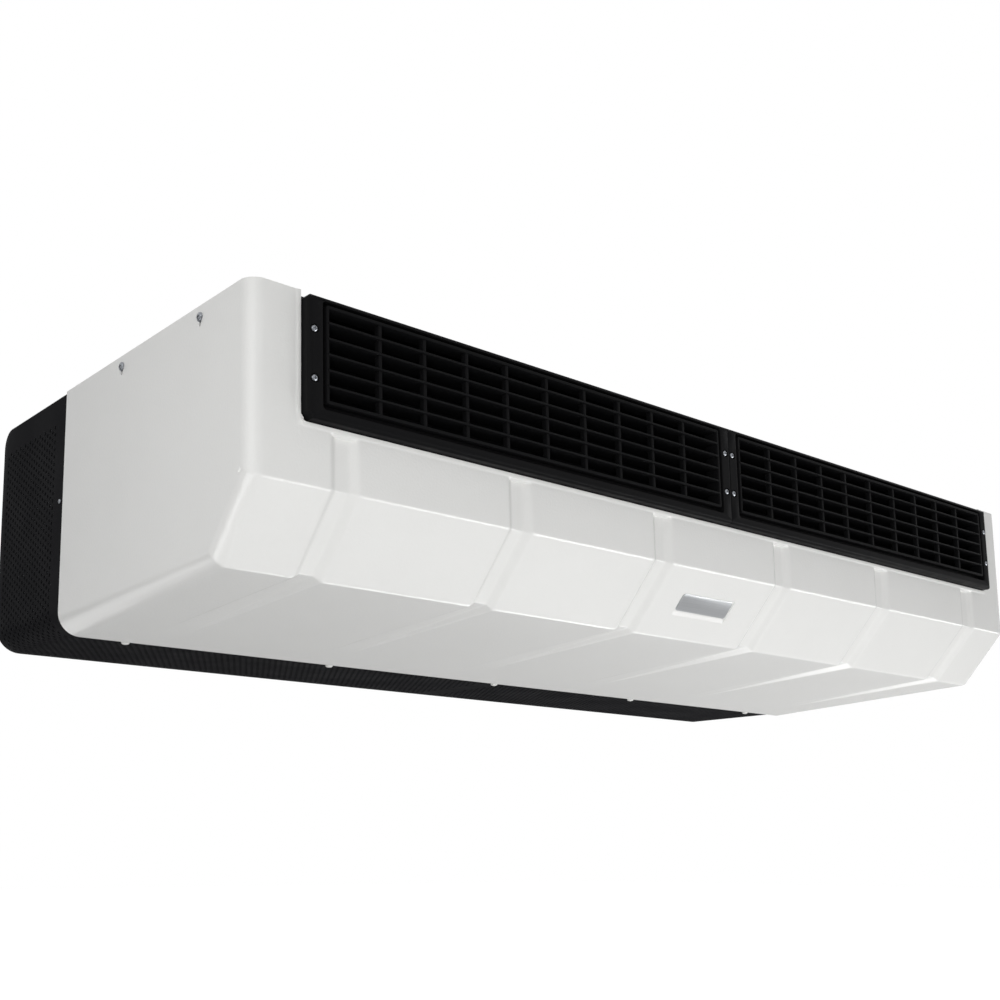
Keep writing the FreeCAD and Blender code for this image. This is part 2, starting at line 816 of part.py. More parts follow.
def bottom_rail():
    """Angle inside the joint between shell and guard; the bottom screws go into it."""
    half = guard_half - guard_bend_radius
    z = -guard_bottom + guard_sheet
    y = guard_front_y - rail_width / 2
    flat = box((-half, y, z), (half, y + rail_width, z + rail_sheet))
    upright = box((-half, y, z), (half, y + rail_sheet, z + rail_height))
    holes = []
    for x, place_y in bottom_screw_places():
        holes.append(rod(screw_radius, (x, place_y, z - 1), (x, place_y, z + 3)))
    return flat.fuse(upright).removeSplitter().cut(group(holes))


def scroll_outline(grow):
    """Volute drawn with three arcs about stepped centres, open to the front along its top."""
    first = scroll_start + grow
    second, third = first + scroll_step, first + 2 * scroll_step
    top_z = axis_z + scroll_start + 3 * scroll_step + grow
    channel_z = axis_z + tongue_rise - grow
    mouth_y = plenum_back
    centre_one = (axis_y, axis_z)
    centre_two = (axis_y, axis_z + scroll_step)
    centre_three = (axis_y - scroll_step, axis_z + scroll_step)

    def on(centre, radius, degrees):
        angle = math.radians(degrees)
        return vec(0, centre[0] + radius * math.cos(angle), centre[1] + radius * math.sin(angle))

    tongue = 180 - math.degrees(math.asin((channel_z - axis_z) / first))
    arcs = [
        Part.Arc(on(centre_three, third, 90), on(centre_three, third, 45), on(centre_three, third, 0)),
        Part.Arc(on(centre_two, second, 0), on(centre_two, second, -45), on(centre_two, second, -90)),
        Part.Arc(on(centre_one, first, 270), on(centre_one, first, (270 + tongue) / 2),
                 on(centre_one, first, tongue)),
    ]
    top_front, top_back = vec(0, mouth_y, top_z), vec(0, centre_three[0], top_z)
    tongue_point, mouth_low = on(centre_one, first, tongue), vec(0, mouth_y, channel_z)
    lines = [Part.makeLine(top_front, top_back)]
    tail = [Part.makeLine(tongue_point, mouth_low), Part.makeLine(mouth_low, top_front)]
    return Part.Face(Part.Wire(lines + [arc.toShape() for arc in arcs] + tail))


# Along the shaft: motor, a gap, then each scroll with its wheel between side gaps
scroll_near = motor_length / 2 + motor_cap_length + bearing_length + motor_side_gap
scroll_width = wheel_width + 2 * wheel_side_gap + 2 * scroll_wall


def scroll_housing():
    """Scroll on the +X side of a motor that is centred on x = 0."""
    low, high = scroll_near, scroll_near + scroll_width
    outer = scroll_outline(scroll_wall)
    outer.translate(vec(low, 0, 0))
    body = outer.extrude(vec(scroll_width, 0, 0))
    cavity = scroll_outline(0.0)
    cavity.translate(vec(low + scroll_wall, 0, 0))
    air = cavity.extrude(vec(scroll_width - 2 * scroll_wall, 0, 0))
    body = body.cut(air)
    inlet = inlet_radius + inlet_sheet + sheet_gap
    body = body.cut(rod(inlet, (high - 2 * scroll_wall, axis_y, axis_z), (high + 1, axis_y, axis_z)))
    near_hole = motor_cap_radius
    body = body.cut(rod(near_hole, (low - 1, axis_y, axis_z), (low + 2 * scroll_wall, axis_y, axis_z)))
    mouth_top = axis_z + scroll_start + 3 * scroll_step
    mouth = box((low + scroll_wall, plenum_back - 1, axis_z + tongue_rise),
                (high - scroll_wall, plenum_back + scroll_wall, mouth_top))
    body = body.cut(mouth)
    lugs = []
    for x in (low + scroll_width / 4, high - scroll_width / 4):
        lugs.append(box((x - lug_thickness / 2, axis_y - lug_length, mouth_top + scroll_wall / 2),
                        (x + lug_thickness / 2, axis_y, -panel_bottom)))
    return fused([body] + lugs)


def inlet_ring():
    """Bell-mouth ring in the scroll's open side."""
    seat_x = scroll_near + scroll_width
    profile_radius = inlet_radius
    points = [vec(seat_x - wheel_side_gap, 0, profile_radius), vec(seat_x, 0, profile_radius)]
    flare_mid = math.sqrt(0.5) * inlet_flare
    arc_in = Part.Arc(points[1], vec(seat_x + flare_mid, 0, profile_radius + inlet_flare - flare_mid),
                      vec(seat_x + inlet_flare, 0, profile_radius + inlet_flare))
    small = inlet_flare - inlet_sheet
    small_mid = math.sqrt(0.5) * small
    arc_out = Part.Arc(vec(seat_x + small, 0, profile_radius + inlet_flare),
                       vec(seat_x + small_mid, 0, profile_radius + inlet_flare - small_mid),
                       vec(seat_x, 0, profile_radius + inlet_sheet))
    lines = [
        Part.makeLine(points[0], points[1]),
        arc_in.toShape(),
        Part.makeLine(vec(seat_x + inlet_flare, 0, profile_radius + inlet_flare),
                      vec(seat_x + small, 0, profile_radius + inlet_flare)),
        arc_out.toShape(),
        Part.makeLine(vec(seat_x, 0, profile_radius + inlet_sheet),
                      vec(seat_x - wheel_side_gap, 0, profile_radius + inlet_sheet)),
        Part.makeLine(vec(seat_x - wheel_side_gap, 0, profile_radius + inlet_sheet), points[0]),
    ]
    ring = Part.Face(Part.Wire(lines)).revolve(vec(0, 0, 0), vec(1, 0, 0), 360)
    ring.translate(vec(0, axis_y, axis_z))
    return ring


def wheel_blade(angle, x_low, x_high):
    """One forward-curved blade: a thin curved strip between the wheel's inner and outer radius."""
    inner, outer = wheel_radius - wheel_blade_depth, wheel_radius
    lean = math.degrees(wheel_blade_depth / wheel_radius) * wheel_blade_sweep
    bow = lean * wheel_blade_curve

    def at(radius, degrees):
        turn = math.radians(degrees)
        return vec(x_low, radius * math.cos(turn), radius * math.sin(turn))

    thick = math.degrees(wheel_blade_sheet / wheel_radius)
    middle = (inner + outer) / 2
    tip = angle + lean
    front = Part.Arc(at(inner, angle), at(middle, angle + bow), at(outer, tip))
    back = Part.Arc(at(outer, tip + thick), at(middle, angle + bow + thick), at(inner, angle + thick))
    edges = [front.toShape(), Part.makeLine(at(outer, tip), at(outer, tip + thick)),
             back.toShape(), Part.makeLine(at(inner, angle + thick), at(inner, angle))]
    return Part.Face(Part.Wire(edges)).extrude(vec(x_high - x_low, 0, 0))


def blower_wheel():
    """Squirrel-cage wheel on the +X side of its motor, hub disc nearest the motor."""
    low = scroll_near + scroll_wall + wheel_side_gap
    high = low + wheel_width
    disc = Part.makeCylinder(wheel_radius, wheel_disc, vec(low, 0, 0), vec(1, 0, 0))
    hub = Part.makeCylinder(wheel_hub_radius, wheel_hub_length, vec(low, 0, 0), vec(1, 0, 0))
    ring = Part.makeCylinder(wheel_radius, wheel_disc, vec(high - wheel_disc, 0, 0), vec(1, 0, 0))
    eye = wheel_radius - wheel_blade_depth
    ring = ring.cut(Part.makeCylinder(eye, wheel_width, vec(low, 0, 0), vec(1, 0, 0)))
    blades = []
    for i in range(wheel_blades):
        blades.append(wheel_blade(360 * i / wheel_blades, low + wheel_disc / 2, high - wheel_disc / 2))
    wheel = disc.multiFuse([hub, ring] + blades)
    bore = Part.makeCylinder(shaft_radius + hub_clearance, wheel_width, vec(low - 1, 0, 0), vec(1, 0, 0))
    wheel = wheel.cut(bore)
    wheel.translate(vec(0, axis_y, axis_z))
    return wheel


def motor_shaft():
    reach = scroll_near + scroll_wall + wheel_side_gap + wheel_hub_length
    return rod(shaft_radius, (-reach, axis_y, axis_z), (reach, axis_y, axis_z))


def blower_motor():
    half = motor_length / 2
    can = rod(motor_radius, (-half, axis_y, axis_z), (half, axis_y, axis_z))
    rims = [e for e in can.Edges if e.Closed]
    can = can.makeFillet(motor_cap_length / 2, rims)
    pieces = [can]
    for side in (-1, 1):
        cap_end = side * (half + motor_cap_length)
        boss_end = cap_end + side * bearing_length
        pieces.append(rod(motor_cap_radius, (0, axis_y, axis_z), (cap_end, axis_y, axis_z)))
        pieces.append(rod(bearing_radius, (0, axis_y, axis_z), (boss_end, axis_y, axis_z)))
    bore = shaft_radius + running_clearance
    body = fused(pieces)
    return body.cut(rod(bore, (-motor_length, axis_y, axis_z), (motor_length, axis_y, axis_z)))


def motor_bracket():
    """Band round the motor with two legs up to feet under the top panel."""
    inner = motor_radius + sheet_gap
    outer = inner + band_sheet
    half = band_width / 2
    pieces = [tube(outer, inner, (-half, axis_y, axis_z), (half, axis_y, axis_z))]
    for side in (-1, 1):
        leg_low, leg_high = sorted((axis_y + side * inner, axis_y + side * outer))
        pieces.append(box((-half, leg_low, axis_z), (half, leg_high, -panel_bottom)))
        foot_low, foot_high = sorted((axis_y + side * inner, axis_y + side * (outer + foot_length)))
        pieces.append(box((-half, foot_low, -panel_bottom - band_sheet), (half, foot_high, -panel_bottom)))
    return fused(pieces)


def plenum():
    """Right-hand sheet box that leads the two scroll mouths to one grille."""
    margin = ring_width / 2 + window_margin
    near, far = grille_flange - margin, grille_length - grille_flange + margin
    low, high = -plenum_drop, -panel_bottom
    outer = box((near - plenum_sheet, frame_back, low), (far + plenum_sheet, plenum_back, high))
    inner = box((near, frame_back - 1, low + plenum_sheet),
                (far, plenum_back - plenum_sheet, high - plenum_sheet))
    tools = []
    for side in (-1, 1):
        near_x = blower_x + side * (scroll_near + scroll_wall)
        far_x = blower_x + side * (scroll_near + scroll_width - scroll_wall)
        x_low, x_high = sorted((near_x, far_x))
        tools.append(box((x_low, plenum_back - 2 * plenum_sheet, axis_z + tongue_rise),
                         (x_high, plenum_back + 1, axis_z + scroll_start + 3 * scroll_step)))
    return outer.cut(inner).cut(group(tools))


def coil_y(share):
    return front_y + coil_front + coil_thickness * share


def fin_pack():
    """Fin block drawn as a comb on both faces, ribs for the packed fins."""
    pitch = 2 * coil_half_length / fin_ribs
    front, back = coil_y(0), coil_y(1)
    lower, upper = [], []
    for i in range(fin_ribs):
        x = -coil_half_length + i * pitch
        gap, end = x + pitch * fin_rib_share, x + pitch
        lower += [(x, front), (gap, front), (gap, front + fin_groove_depth), (end, front + fin_groove_depth)]
        upper += [(x, back), (gap, back), (gap, back - fin_groove_depth), (end, back - fin_groove_depth)]
    outline = lower + upper[::-1]
    return top_prism(outline, [0] * len(outline), -coil_bottom, -coil_top)


def tube_places():
    places = []
    row_gap = coil_thickness / tube_rows
    middle = -(coil_top + coil_bottom) / 2
    for row in range(tube_rows):
        y = coil_y(0) + row_gap * (row + 0.5)
        for level in range(tube_levels):
            places.append((y, middle + (level - (tube_levels - 1) / 2) * tube_pitch))
    return places


def tube_plate():
    """Right-hand tube sheet: hangs from the top panel and carries the coil."""
    low_y, high_y = coil_y(0) - tube_sheet_margin, coil_y(1) + tube_sheet_margin
    plate = box((coil_half_length, low_y, -coil_bottom - tube_sheet),
                (coil_half_length + tube_sheet, high_y, -panel_bottom))
    foot = box((coil_half_length, low_y, -panel_bottom - tube_sheet),
               (coil_half_length + 2 * tube_sheet_margin, high_y, -panel_bottom))
    holes = []
    for y, z in tube_places():
        holes.append(rod(tube_radius + tube_clearance, (coil_half_length - 1, y, z),
                         (coil_half_length + tube_sheet + 1, y, z)))
    return plate.fuse(foot).removeSplitter().cut(group(holes))


def return_bends():
    """U bends that join neighbouring tubes of a row outside both tube sheets."""
    bends = []
    bend_radius = tube_pitch / 2
    places = tube_places()
    circuit = tube_levels // 2
    left_starts = [i for i in range(tube_levels - 1) if i % 2 == 0]
    right_starts = [i for i in range(tube_levels - 1) if i % 2 == 1 and i != circuit - 1]
    for side, starts in ((-1, left_starts), (1, right_starts)):
        for row in range(tube_rows):
            levels = places[row * tube_levels:(row + 1) * tube_levels]
            for i in starts:
                y, low = levels[i]
                high = levels[i + 1][1]
                x_in, x_out = coil_half_length, coil_half_length + 3 * tube_sheet
                middle = (low + high) / 2
                arc = Part.Arc(vec(side * x_out, y, low), vec(side * (x_out + bend_radius), y, middle),
                               vec(side * x_out, y, high)).toShape()
                path = Part.Wire([Part.makeLine(vec(side * x_in, y, low), vec(side * x_out, y, low)), arc,
                                  Part.makeLine(vec(side * x_out, y, high), vec(side * x_in, y, high))])
                ring = Part.Wire(Part.makeCircle(tube_radius, vec(side * x_in, y, low), vec(side, 0, 0)))
                bends.append(path.makePipeShell([ring], True, False))
    return group(bends)


def suction_header():
    """Upright header beside the coil, fed by the top tube of each circuit in each row."""
    y = header_y()
    places = tube_places()
    levels = (tube_levels // 2 - 1, tube_levels - 1)
    low_z, high_z = places[levels[0]][1], places[levels[1]][1]
    over = tube_pitch / 3
    pieces = [rod(header_radius, (header_x, y, low_z - over), (header_x, y, high_z + over))]
    for level in levels:
        z = places[level][1]
        row_y = [places[row * tube_levels + level][0] for row in range(tube_rows)]
        for tube_y in row_y:
            pieces.append(rod(tube_radius, (coil_half_length, tube_y, z), (header_x, tube_y, z)))
        pieces.append(rod(tube_radius, (header_x, min(row_y), z), (header_x, max(row_y), z)))
    return fused(pieces)


def elbow_line(points, radius, bend):
    """Round line through the points with one bend radius."""
    edges = []
    start = vec(*points[0])
    for i in range(1, len(points) - 1):
        corner = vec(*points[i])
        one = (vec(*points[i - 1]) - corner).normalize()
        two = (vec(*points[i + 1]) - corner).normalize()
        half_angle = one.getAngle(two) / 2
        run = bend / math.tan(half_angle)
        middle = (one + two).normalize()
        reach = bend / math.sin(half_angle) - bend
        arc_start, arc_end = corner + one * run, corner + two * run
        edges.append(Part.makeLine(start, arc_start))
        edges.append(Part.Arc(arc_start, corner + middle * reach, arc_end).toShape())
        start = arc_end
    edges.append(Part.makeLine(start, vec(*points[-1])))
    path = Part.Wire(edges)
    first = vec(*points[0])
    ring = Part.Wire(Part.makeCircle(radius, first, vec(*points[1]) - first))
    return path.makePipeShell([ring], True, True)


def header_y():
    places = tube_places()
    return (places[0][0] + places[-1][0]) / 2


def suction_line():
    """From the header out to the right, then straight back through the rear panel."""
    y, z = header_y(), -suction_drop
    side = header_x + header_radius
    line = elbow_line([(side, y, z), (suction_x, y, z), (suction_x, port_y, z)], suction_radius, suction_bend)
    return line.fuse(collar(suction_radius, suction_x, port_y, z))


def collar(radius, x, end_y, z):
    """Bead that stops the hose a port's length from the end."""
    face = end_y - port_length
    return rod(radius + collar_rise, (x, face - collar_length, z), (x, face, z))


def valve_front():
    return coil_y(1) + valve_setback + distributor_length


def expansion_valve():
    """Valve block at the end of the liquid line: power head on top, distributor to the front."""
    x, z, half = liquid_x, -liquid_drop, valve_half
    y = valve_front() + half
    block = box((x - half, y - half, z - half), (x + half, y + half, z + half))
    neck = rod(valve_neck_radius, (x, y, z), (x, y, z + valve_neck_top))
    head = rod(valve_head_radius, (x, y, z + valve_neck_top), (x, y, z + valve_head_top))
    cap = rod(valve_cap_radius, (x, y, z), (x, y, z - valve_cap_bottom))
    nozzle = rod(distributor_radius, (x, y - half - distributor_length, z), (x, y, z))
    return fused([block, neck, head, cap, nozzle])


def distributor_tubes():
    """Thin tubes from the distributor to the lowest tube of each circuit in each row."""
    places = tube_places()
    end_y = valve_front() - distributor_length
    turn_y = end_y - 2 * feed_bend - 1.0
    tubes = []
    for row in range(tube_rows):
        x = liquid_x - feed_step / 2 + feed_step * (tube_rows - 1 - row) / (tube_rows - 1)
        for level, shift in ((0, -1), (tube_levels // 2, 1)):
            tube_y, tube_z = places[row * tube_levels + level]
            port_z = -liquid_drop + shift * feed_step / 2
            path = [(coil_half_length + tube_sheet, tube_y, tube_z), (x, tube_y, tube_z), (x, turn_y, tube_z),
                    (x, turn_y, port_z), (x, end_y, port_z)]
            tubes.append(elbow_line(path, feed_radius, feed_bend))
    return group(tubes)


def liquid_line():
    start = valve_front() + 2 * valve_half
    line = rod(liquid_radius, (liquid_x, start, -liquid_drop), (liquid_x, port_y, -liquid_drop))
    return line.fuse(collar(liquid_radius, liquid_x, port_y, -liquid_drop))


def grommet(name):
    x, z, hole = rear_holes()[name]
    bore = {"suction": suction_radius, "liquid": liquid_radius, "wires": wire_radius}[name] + sheet_gap
    in_dish = -z > dish_top
    face = guard_rear_y + (dish_depth if in_dish else 0.0)
    middle = face + rear_sheet / 2
    flange = grommet_length / 2 - rear_sheet / 2
    body = rod(hole, (x, middle - grommet_length / 2, z), (x, middle + grommet_length / 2, z))
    rims = [
        rod(hole + grommet_rim, (x, face - flange, z), (x, face, z)),
        rod(hole + grommet_rim, (x, face + rear_sheet, z), (x, face + rear_sheet + flange, z)),
    ]
    body = fused([body] + rims)
    return body.cut(rod(bore, (x, middle - grommet_length, z), (x, middle + grommet_length, z)))


def filter_box():
    front = coil_y(1) + filter_gap
    return front, front + filter_thickness


def filter_frame():
    """Folded channel frame round the filter pad, hung on the coil's rear face."""
    front, back = filter_box()
    half = coil_half_length
    outer = box((-half, front, -pan_top), (half, back, -panel_bottom))
    inside = filter_channel
    window = box((-half + inside, front - 1, -pan_top + inside),
                 (half - inside, back + 1, -panel_bottom - inside))
    lip = filter_sheet
    pad_room = box((-half + lip, front + lip, -pan_top + lip), (half - lip, back - lip, -panel_bottom - lip))
    return outer.cut(window).cut(pad_room)


def filter_pad():
    front, back = filter_box()
    lip = filter_sheet + sheet_gap
    return box((-coil_half_length + lip, front + lip, -pan_top + lip),
               (coil_half_length - lip, back - lip, -panel_bottom - lip))


def drain_pan():
    """Moulded tray under the coil with hanging ends and a drain hole near each end."""
    low_y, high_y = front_y + pan_front, front_y + pan_rear
    outer = box((-pan_half_length, low_y, -pan_bottom), (pan_half_length, high_y, -pan_top))
    inner = box((-pan_half_length + pan_wall, low_y + pan_wall, -pan_bottom + pan_wall),
                (pan_half_length - pan_wall, high_y - pan_wall, -pan_top + 1))
    tray = outer.cut(inner)
    pieces = [tray]
    for side in (-1, 1):
        low_x, high_x = sorted((side * (pan_half_length - pan_wall), side * end_frame_inner))
        pieces.append(box((low_x, low_y, -pan_top - pan_wall), (high_x, high_y, -pan_top)))
    holes = [rod(spigot_bore, (x, high_y - 2 * pan_wall, rear_holes()["left_drain"][1]),
                 (x, high_y + 1, rear_holes()["left_drain"][1])) for x in (-spigot_x, spigot_x)]
    return fused(pieces).cut(group(holes))


def drain_spigot(side):
    """Drain fitting: a flange on the pan's rear wall and a straight pipe through the rear panel."""
    x, z = side * spigot_x, rear_holes()["left_drain"][1]
    start = front_y + pan_rear
    end_y = guard_rear_y + rear_sheet + dish_depth + spigot_reach
    flange = rod(spigot_flange_radius, (x, start, z), (x, start + spigot_flange, z))
    below = box((x - 2 * spigot_flange_radius, start - 1, z - 2 * spigot_flange_radius),
                (x + 2 * spigot_flange_radius, start + 2 * spigot_flange, -pan_bottom))
    pipe = rod(spigot_radius, (x, start, z), (x, end_y, z))
    spigot = fused([flange.cut(below), pipe, collar(spigot_radius, x, end_y, z)])
    return spigot.cut(rod(spigot_bore, (x, start - 1, z), (x, end_y + 1, z)))


def terminal_block():
    """Terminal strip under the top panel between the two blowers."""
    half = terminal_ways * terminal_pitch / 2
    low = -panel_bottom - terminal_height
    base = box((-half, axis_y - terminal_depth / 2, low), (half, axis_y + terminal_depth / 2, -panel_bottom))
    reach = terminal_depth / 2 - terminal_wall
    slots = []
    for k in range(terminal_ways):
        x = -half + k * terminal_pitch + terminal_wall
        slots.append(box((x, axis_y - reach, low - 1),
                         (x + terminal_pitch - 2 * terminal_wall, axis_y + reach, low + terminal_height / 2)))
    return base.cut(group(slots))


def blower_resistor():
    """Speed resistor: a plate under the top panel with two wound posts."""
    y = axis_y + resistor_setback
    plate = box((-resistor_length / 2, y - resistor_depth / 2, -panel_bottom - tube_sheet),
                (resistor_length / 2, y + resistor_depth / 2, -panel_bottom))
    posts = [rod(resistor_post_radius, (x, y, -panel_bottom), (x, y, -panel_bottom - resistor_drop))
             for x in (-resistor_length / 4, resistor_length / 4)]
    return fused([plate] + posts)


def place_blower(shape, side):
    moved = shape.copy()
    moved.translate(vec(side * blower_x, 0, 0))
    return moved


nodes = {}
nodes["front_shell"] = front_shell()
nodes["badge_plate"] = badge_plate()
right_grille = discharge_grille()
nodes["right_discharge_grille"] = right_grille
nodes["left_discharge_grille"] = mirrored(right_grille)
nodes["return_air_guard"] = return_air_guard()
nodes["rear_panel"] = rear_panel()
nodes["top_panel"] = top_panel()
nodes["left_mounting_strap"] = mounting_strap(-1)
nodes["right_mounting_strap"] = mounting_strap(1)
right_end = end_frame()
nodes["right_end_frame"] = right_end
nodes["left_end_frame"] = mirrored(right_end)
nodes["discharge_frame"] = discharge_frame()
nodes["bottom_rail"] = bottom_rail()
right_plenum = plenum()
nodes["right_discharge_plenum"] = right_plenum
nodes["left_discharge_plenum"] = mirrored(right_plenum)

wheel, housing, ring = blower_wheel(), scroll_housing(), inlet_ring()
motor, bracket, shaft = blower_motor(), motor_bracket(), motor_shaft()
inlet_rings = []
for side, name in ((-1, "left"), (1, "right")):
    nodes[name + "_blower_motor"] = place_blower(motor, side)
    nodes[name + "_motor_bracket"] = place_blower(bracket, side)
    nodes[name + "_motor_shaft"] = place_blower(shaft, side)
    for end, where in ((side, "outer"), (-side, "inner")):
        parts = [shape if end > 0 else mirrored(shape) for shape in (wheel, housing, ring)]
        nodes["%s_%s_blower_wheel" % (name, where)] = place_blower(parts[0], side)
        nodes["%s_%s_scroll_housing" % (name, where)] = place_blower(parts[1], side)
        inlet_rings.append(place_blower(parts[2], side))
nodes["inlet_rings"] = group(inlet_rings)

nodes["coil_fin_pack"] = fin_pack()
right_tube_plate = tube_plate()
nodes["right_tube_sheet"] = right_tube_plate
nodes["left_tube_sheet"] = mirrored(right_tube_plate)
nodes["return_bends"] = return_bends()
nodes["suction_header"] = suction_header()
nodes["suction_line"] = suction_line()
nodes["expansion_valve"] = expansion_valve()
nodes["distributor_tubes"] = distributor_tubes()
nodes["liquid_line"] = liquid_line()
nodes["suction_grommet"] = grommet("suction")
nodes["liquid_grommet"] = grommet("liquid")
nodes["wire_grommet"] = grommet("wires")
nodes["filter_frame"] = filter_frame()
nodes["filter_pad"] = filter_pad()
nodes["drain_pan"] = drain_pan()
nodes["left_drain_spigot"] = drain_spigot(-1)
nodes["right_drain_spigot"] = drain_spigot(1)
nodes["terminal_block"] = terminal_block()
nodes["blower_resistor"] = blower_resistor()
nodes["grille_screws"] = grille_screws()
nodes["shell_side_screws"] = shell_side_screws()
nodes["bottom_screws"] = bottom_screws()
nodes["guard_screws"] = guard_screws()

for name, shape in nodes.items():
    shape.exportStep("parts/%s.step" % name)
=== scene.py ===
import math

import bmesh
import bpy
from mathutils import Matrix, Vector


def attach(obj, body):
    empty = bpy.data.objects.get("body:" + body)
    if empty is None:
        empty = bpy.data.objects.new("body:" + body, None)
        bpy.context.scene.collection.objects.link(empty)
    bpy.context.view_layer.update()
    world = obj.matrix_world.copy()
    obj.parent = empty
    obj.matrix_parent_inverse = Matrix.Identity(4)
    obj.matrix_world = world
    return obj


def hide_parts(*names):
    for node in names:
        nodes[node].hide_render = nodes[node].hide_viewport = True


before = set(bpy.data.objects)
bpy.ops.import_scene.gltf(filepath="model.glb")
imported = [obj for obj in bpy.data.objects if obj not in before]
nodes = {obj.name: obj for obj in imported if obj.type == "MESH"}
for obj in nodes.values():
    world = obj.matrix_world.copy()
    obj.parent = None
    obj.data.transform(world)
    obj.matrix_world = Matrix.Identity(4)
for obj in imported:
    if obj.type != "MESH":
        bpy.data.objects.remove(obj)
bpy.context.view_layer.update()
mm = 0.001


def linear(hexColour):
    # sRGB hex to the linear values Blender wants
    parts = [int(hexColour[i:i + 2], 16) / 255 for i in (1, 3, 5)]
    return tuple([c / 12.92 if c <= 0.04045 else ((c + 0.055) / 1.055) ** 2.4 for c in parts] + [1.0])


cameraSetup = {
    "place": (-1.149164, -1.232627, -0.491170),
    "yaw": 0.70947,
    "pitch": 0.11820,
    "roll": 0.00158,
    "focalPixels": 1330.506,
    "centre": (499.947, 700.191),
    "imagePixels": 1000,
    "sensor": 36,
    "clip": (0.02, 100),
}


def addObject(name, data):
    holder = bpy.data.objects.new(name, data)
    bpy.context.scene.collection.objects.link(holder)
    return holder


def placeCamera(setup):
    data = bpy.data.cameras.new("studioCamera")
    camera = addObject("studioCamera", data)
    yaw, pitch, roll = setup["yaw"], setup["pitch"], setup["roll"]
    level = Vector((math.sin(yaw), math.cos(yaw), 0))
    right = Vector((math.cos(yaw), -math.sin(yaw), 0))
    forward = level * math.cos(pitch) + Vector((0, 0, math.sin(pitch)))
    up = Vector((0, 0, math.cos(pitch))) - level * math.sin(pitch)
    turn, lift = math.cos(roll), math.sin(roll)
    right, up = right * turn + up * lift, up * turn - right * lift
    axes = Matrix((right, up, -forward)).transposed().to_4x4()
    camera.matrix_world = Matrix.Translation(setup["place"]) @ axes
    size = setup["imagePixels"]
    data.sensor_fit = "HORIZONTAL"
    data.sensor_width = setup["sensor"]
    data.lens = setup["sensor"] * setup["focalPixels"] / size
    data.shift_x = (size / 2 - setup["centre"][0]) / size
    data.shift_y = (setup["centre"][1] - size / 2) / size
    data.clip_start, data.clip_end = setup["clip"]
    bpy.context.scene.camera = camera


placeCamera(cameraSetup)
print("camera placed")


def addNode(tree, kind, settings=None, links=None):
    # add one node, set its properties and socket values, and link sockets into it
    node = tree.nodes.new(kind)
    for name, value in (settings or {}).items():
        if isinstance(name, str) and hasattr(node, name) and name not in node.inputs.keys():
            setattr(node, name, value)
        else:
            node.inputs[name].default_value = value
    for name, source in (links or {}).items():
        tree.links.new(source, node.inputs[name])
    return node


def newMaterial(name, colour, roughness, metallic=0.0, **shaderValues):
    material = bpy.data.materials.new(name)
    material.use_nodes = True
    tree = material.node_tree
    shader = tree.nodes["Principled BSDF"]
    shader.inputs["Base Color"].default_value = linear(colour)
    shader.inputs["Roughness"].default_value = roughness
    shader.inputs["Metallic"].default_value = metallic
    for key, value in shaderValues.items():
        shader.inputs[key].default_value = value
    coords = addNode(tree, "ShaderNodeTexCoord").outputs["Object"]
    return material, tree, shader, coords


def noiseOf(tree, coords, sizeMm, detail):
    # noise whose cells have a real size
    values = {"Scale": 1000 / sizeMm, "Detail": detail}
    return addNode(tree, "ShaderNodeTexNoise", values, {"Vector": coords}).outputs["Fac"]


def streaksOf(tree, coords, stretch, detail=2.0):
    # noise stretched by a scale for each axis, as brushing, rolling or grinding leaves it
    mapping = addNode(tree, "ShaderNodeMapping", {"Scale": stretch}, {"Vector": coords})
    values = {"Scale": 1.0, "Detail": detail}
    return addNode(tree, "ShaderNodeTexNoise", values, {"Vector": mapping.outputs["Vector"]}).outputs["Fac"]


def bumpFrom(tree, shader, height, depthMm, strength):
    values = {"Strength": strength, "Distance": depthMm * mm}
    bump = addNode(tree, "ShaderNodeBump", values, {"Height": height})
    tree.links.new(bump.outputs["Normal"], shader.inputs["Normal"])


def grainBump(tree, shader, coords, sizeMm, depthMm, strength):
    # even grain of one real size, as on a moulded or powder coated surface
    bumpFrom(tree, shader, noiseOf(tree, coords, sizeMm, 2.0), depthMm, strength)


def spreadRoughness(tree, shader, factor, fromLow, fromHigh, low, high):
    values = {"From Min": fromLow, "From Max": fromHigh, "To Min": low, "To Max": high}
    spread = addNode(tree, "ShaderNodeMapRange", values, {"Value": factor})
    tree.links.new(spread.outputs["Result"], shader.inputs["Roughness"])


def mottle(tree, shader, coords, sizeMm, low, high):
    # slow change of roughness over the surface, from handling and from the process
    spreadRoughness(tree, shader, noiseOf(tree, coords, sizeMm, 3.0), 0.35, 0.65, low, high)


def tint(tree, shader, factor, low, high):
    # colour between two hex values by a pattern
    mix = addNode(tree, "ShaderNodeMix", {"data_type": "RGBA"})
    colours = [s for s in mix.inputs if s.type == "RGBA"]
    colours[0].default_value = linear(low)
    colours[1].default_value = linear(high)
    tree.links.new(factor, mix.inputs[0])
    result = [s for s in mix.outputs if s.type == "RGBA"][0]
    tree.links.new(result, shader.inputs["Base Color"])


def grainedMaterial(name, colour, roughness, patches, grain, metallic=0.0, **shaderValues):
    # patches are size, least and most roughness; grain is size, depth and strength; sizes in mm
    material, tree, shader, coords = newMaterial(name, colour, roughness, metallic, **shaderValues)
    mottle(tree, shader, coords, *patches)
    grainBump(tree, shader, coords, *grain)
    return material


def thermoformedAbs():
    # white ABS sheet, vacuum formed with a fine hair-cell grain: soft broad gloss, even to the edge
    material, tree, shader, coords = newMaterial("thermoformedAbs", "#E6E6E4", 0.27, IOR=1.53)
    tint(tree, shader, noiseOf(tree, coords, 90, 2.0), "#E4E4E2", "#E8E8E6")
    bumpFrom(tree, shader, noiseOf(tree, coords, 2.2, 3.0), 0.3, 0.6)
    return material


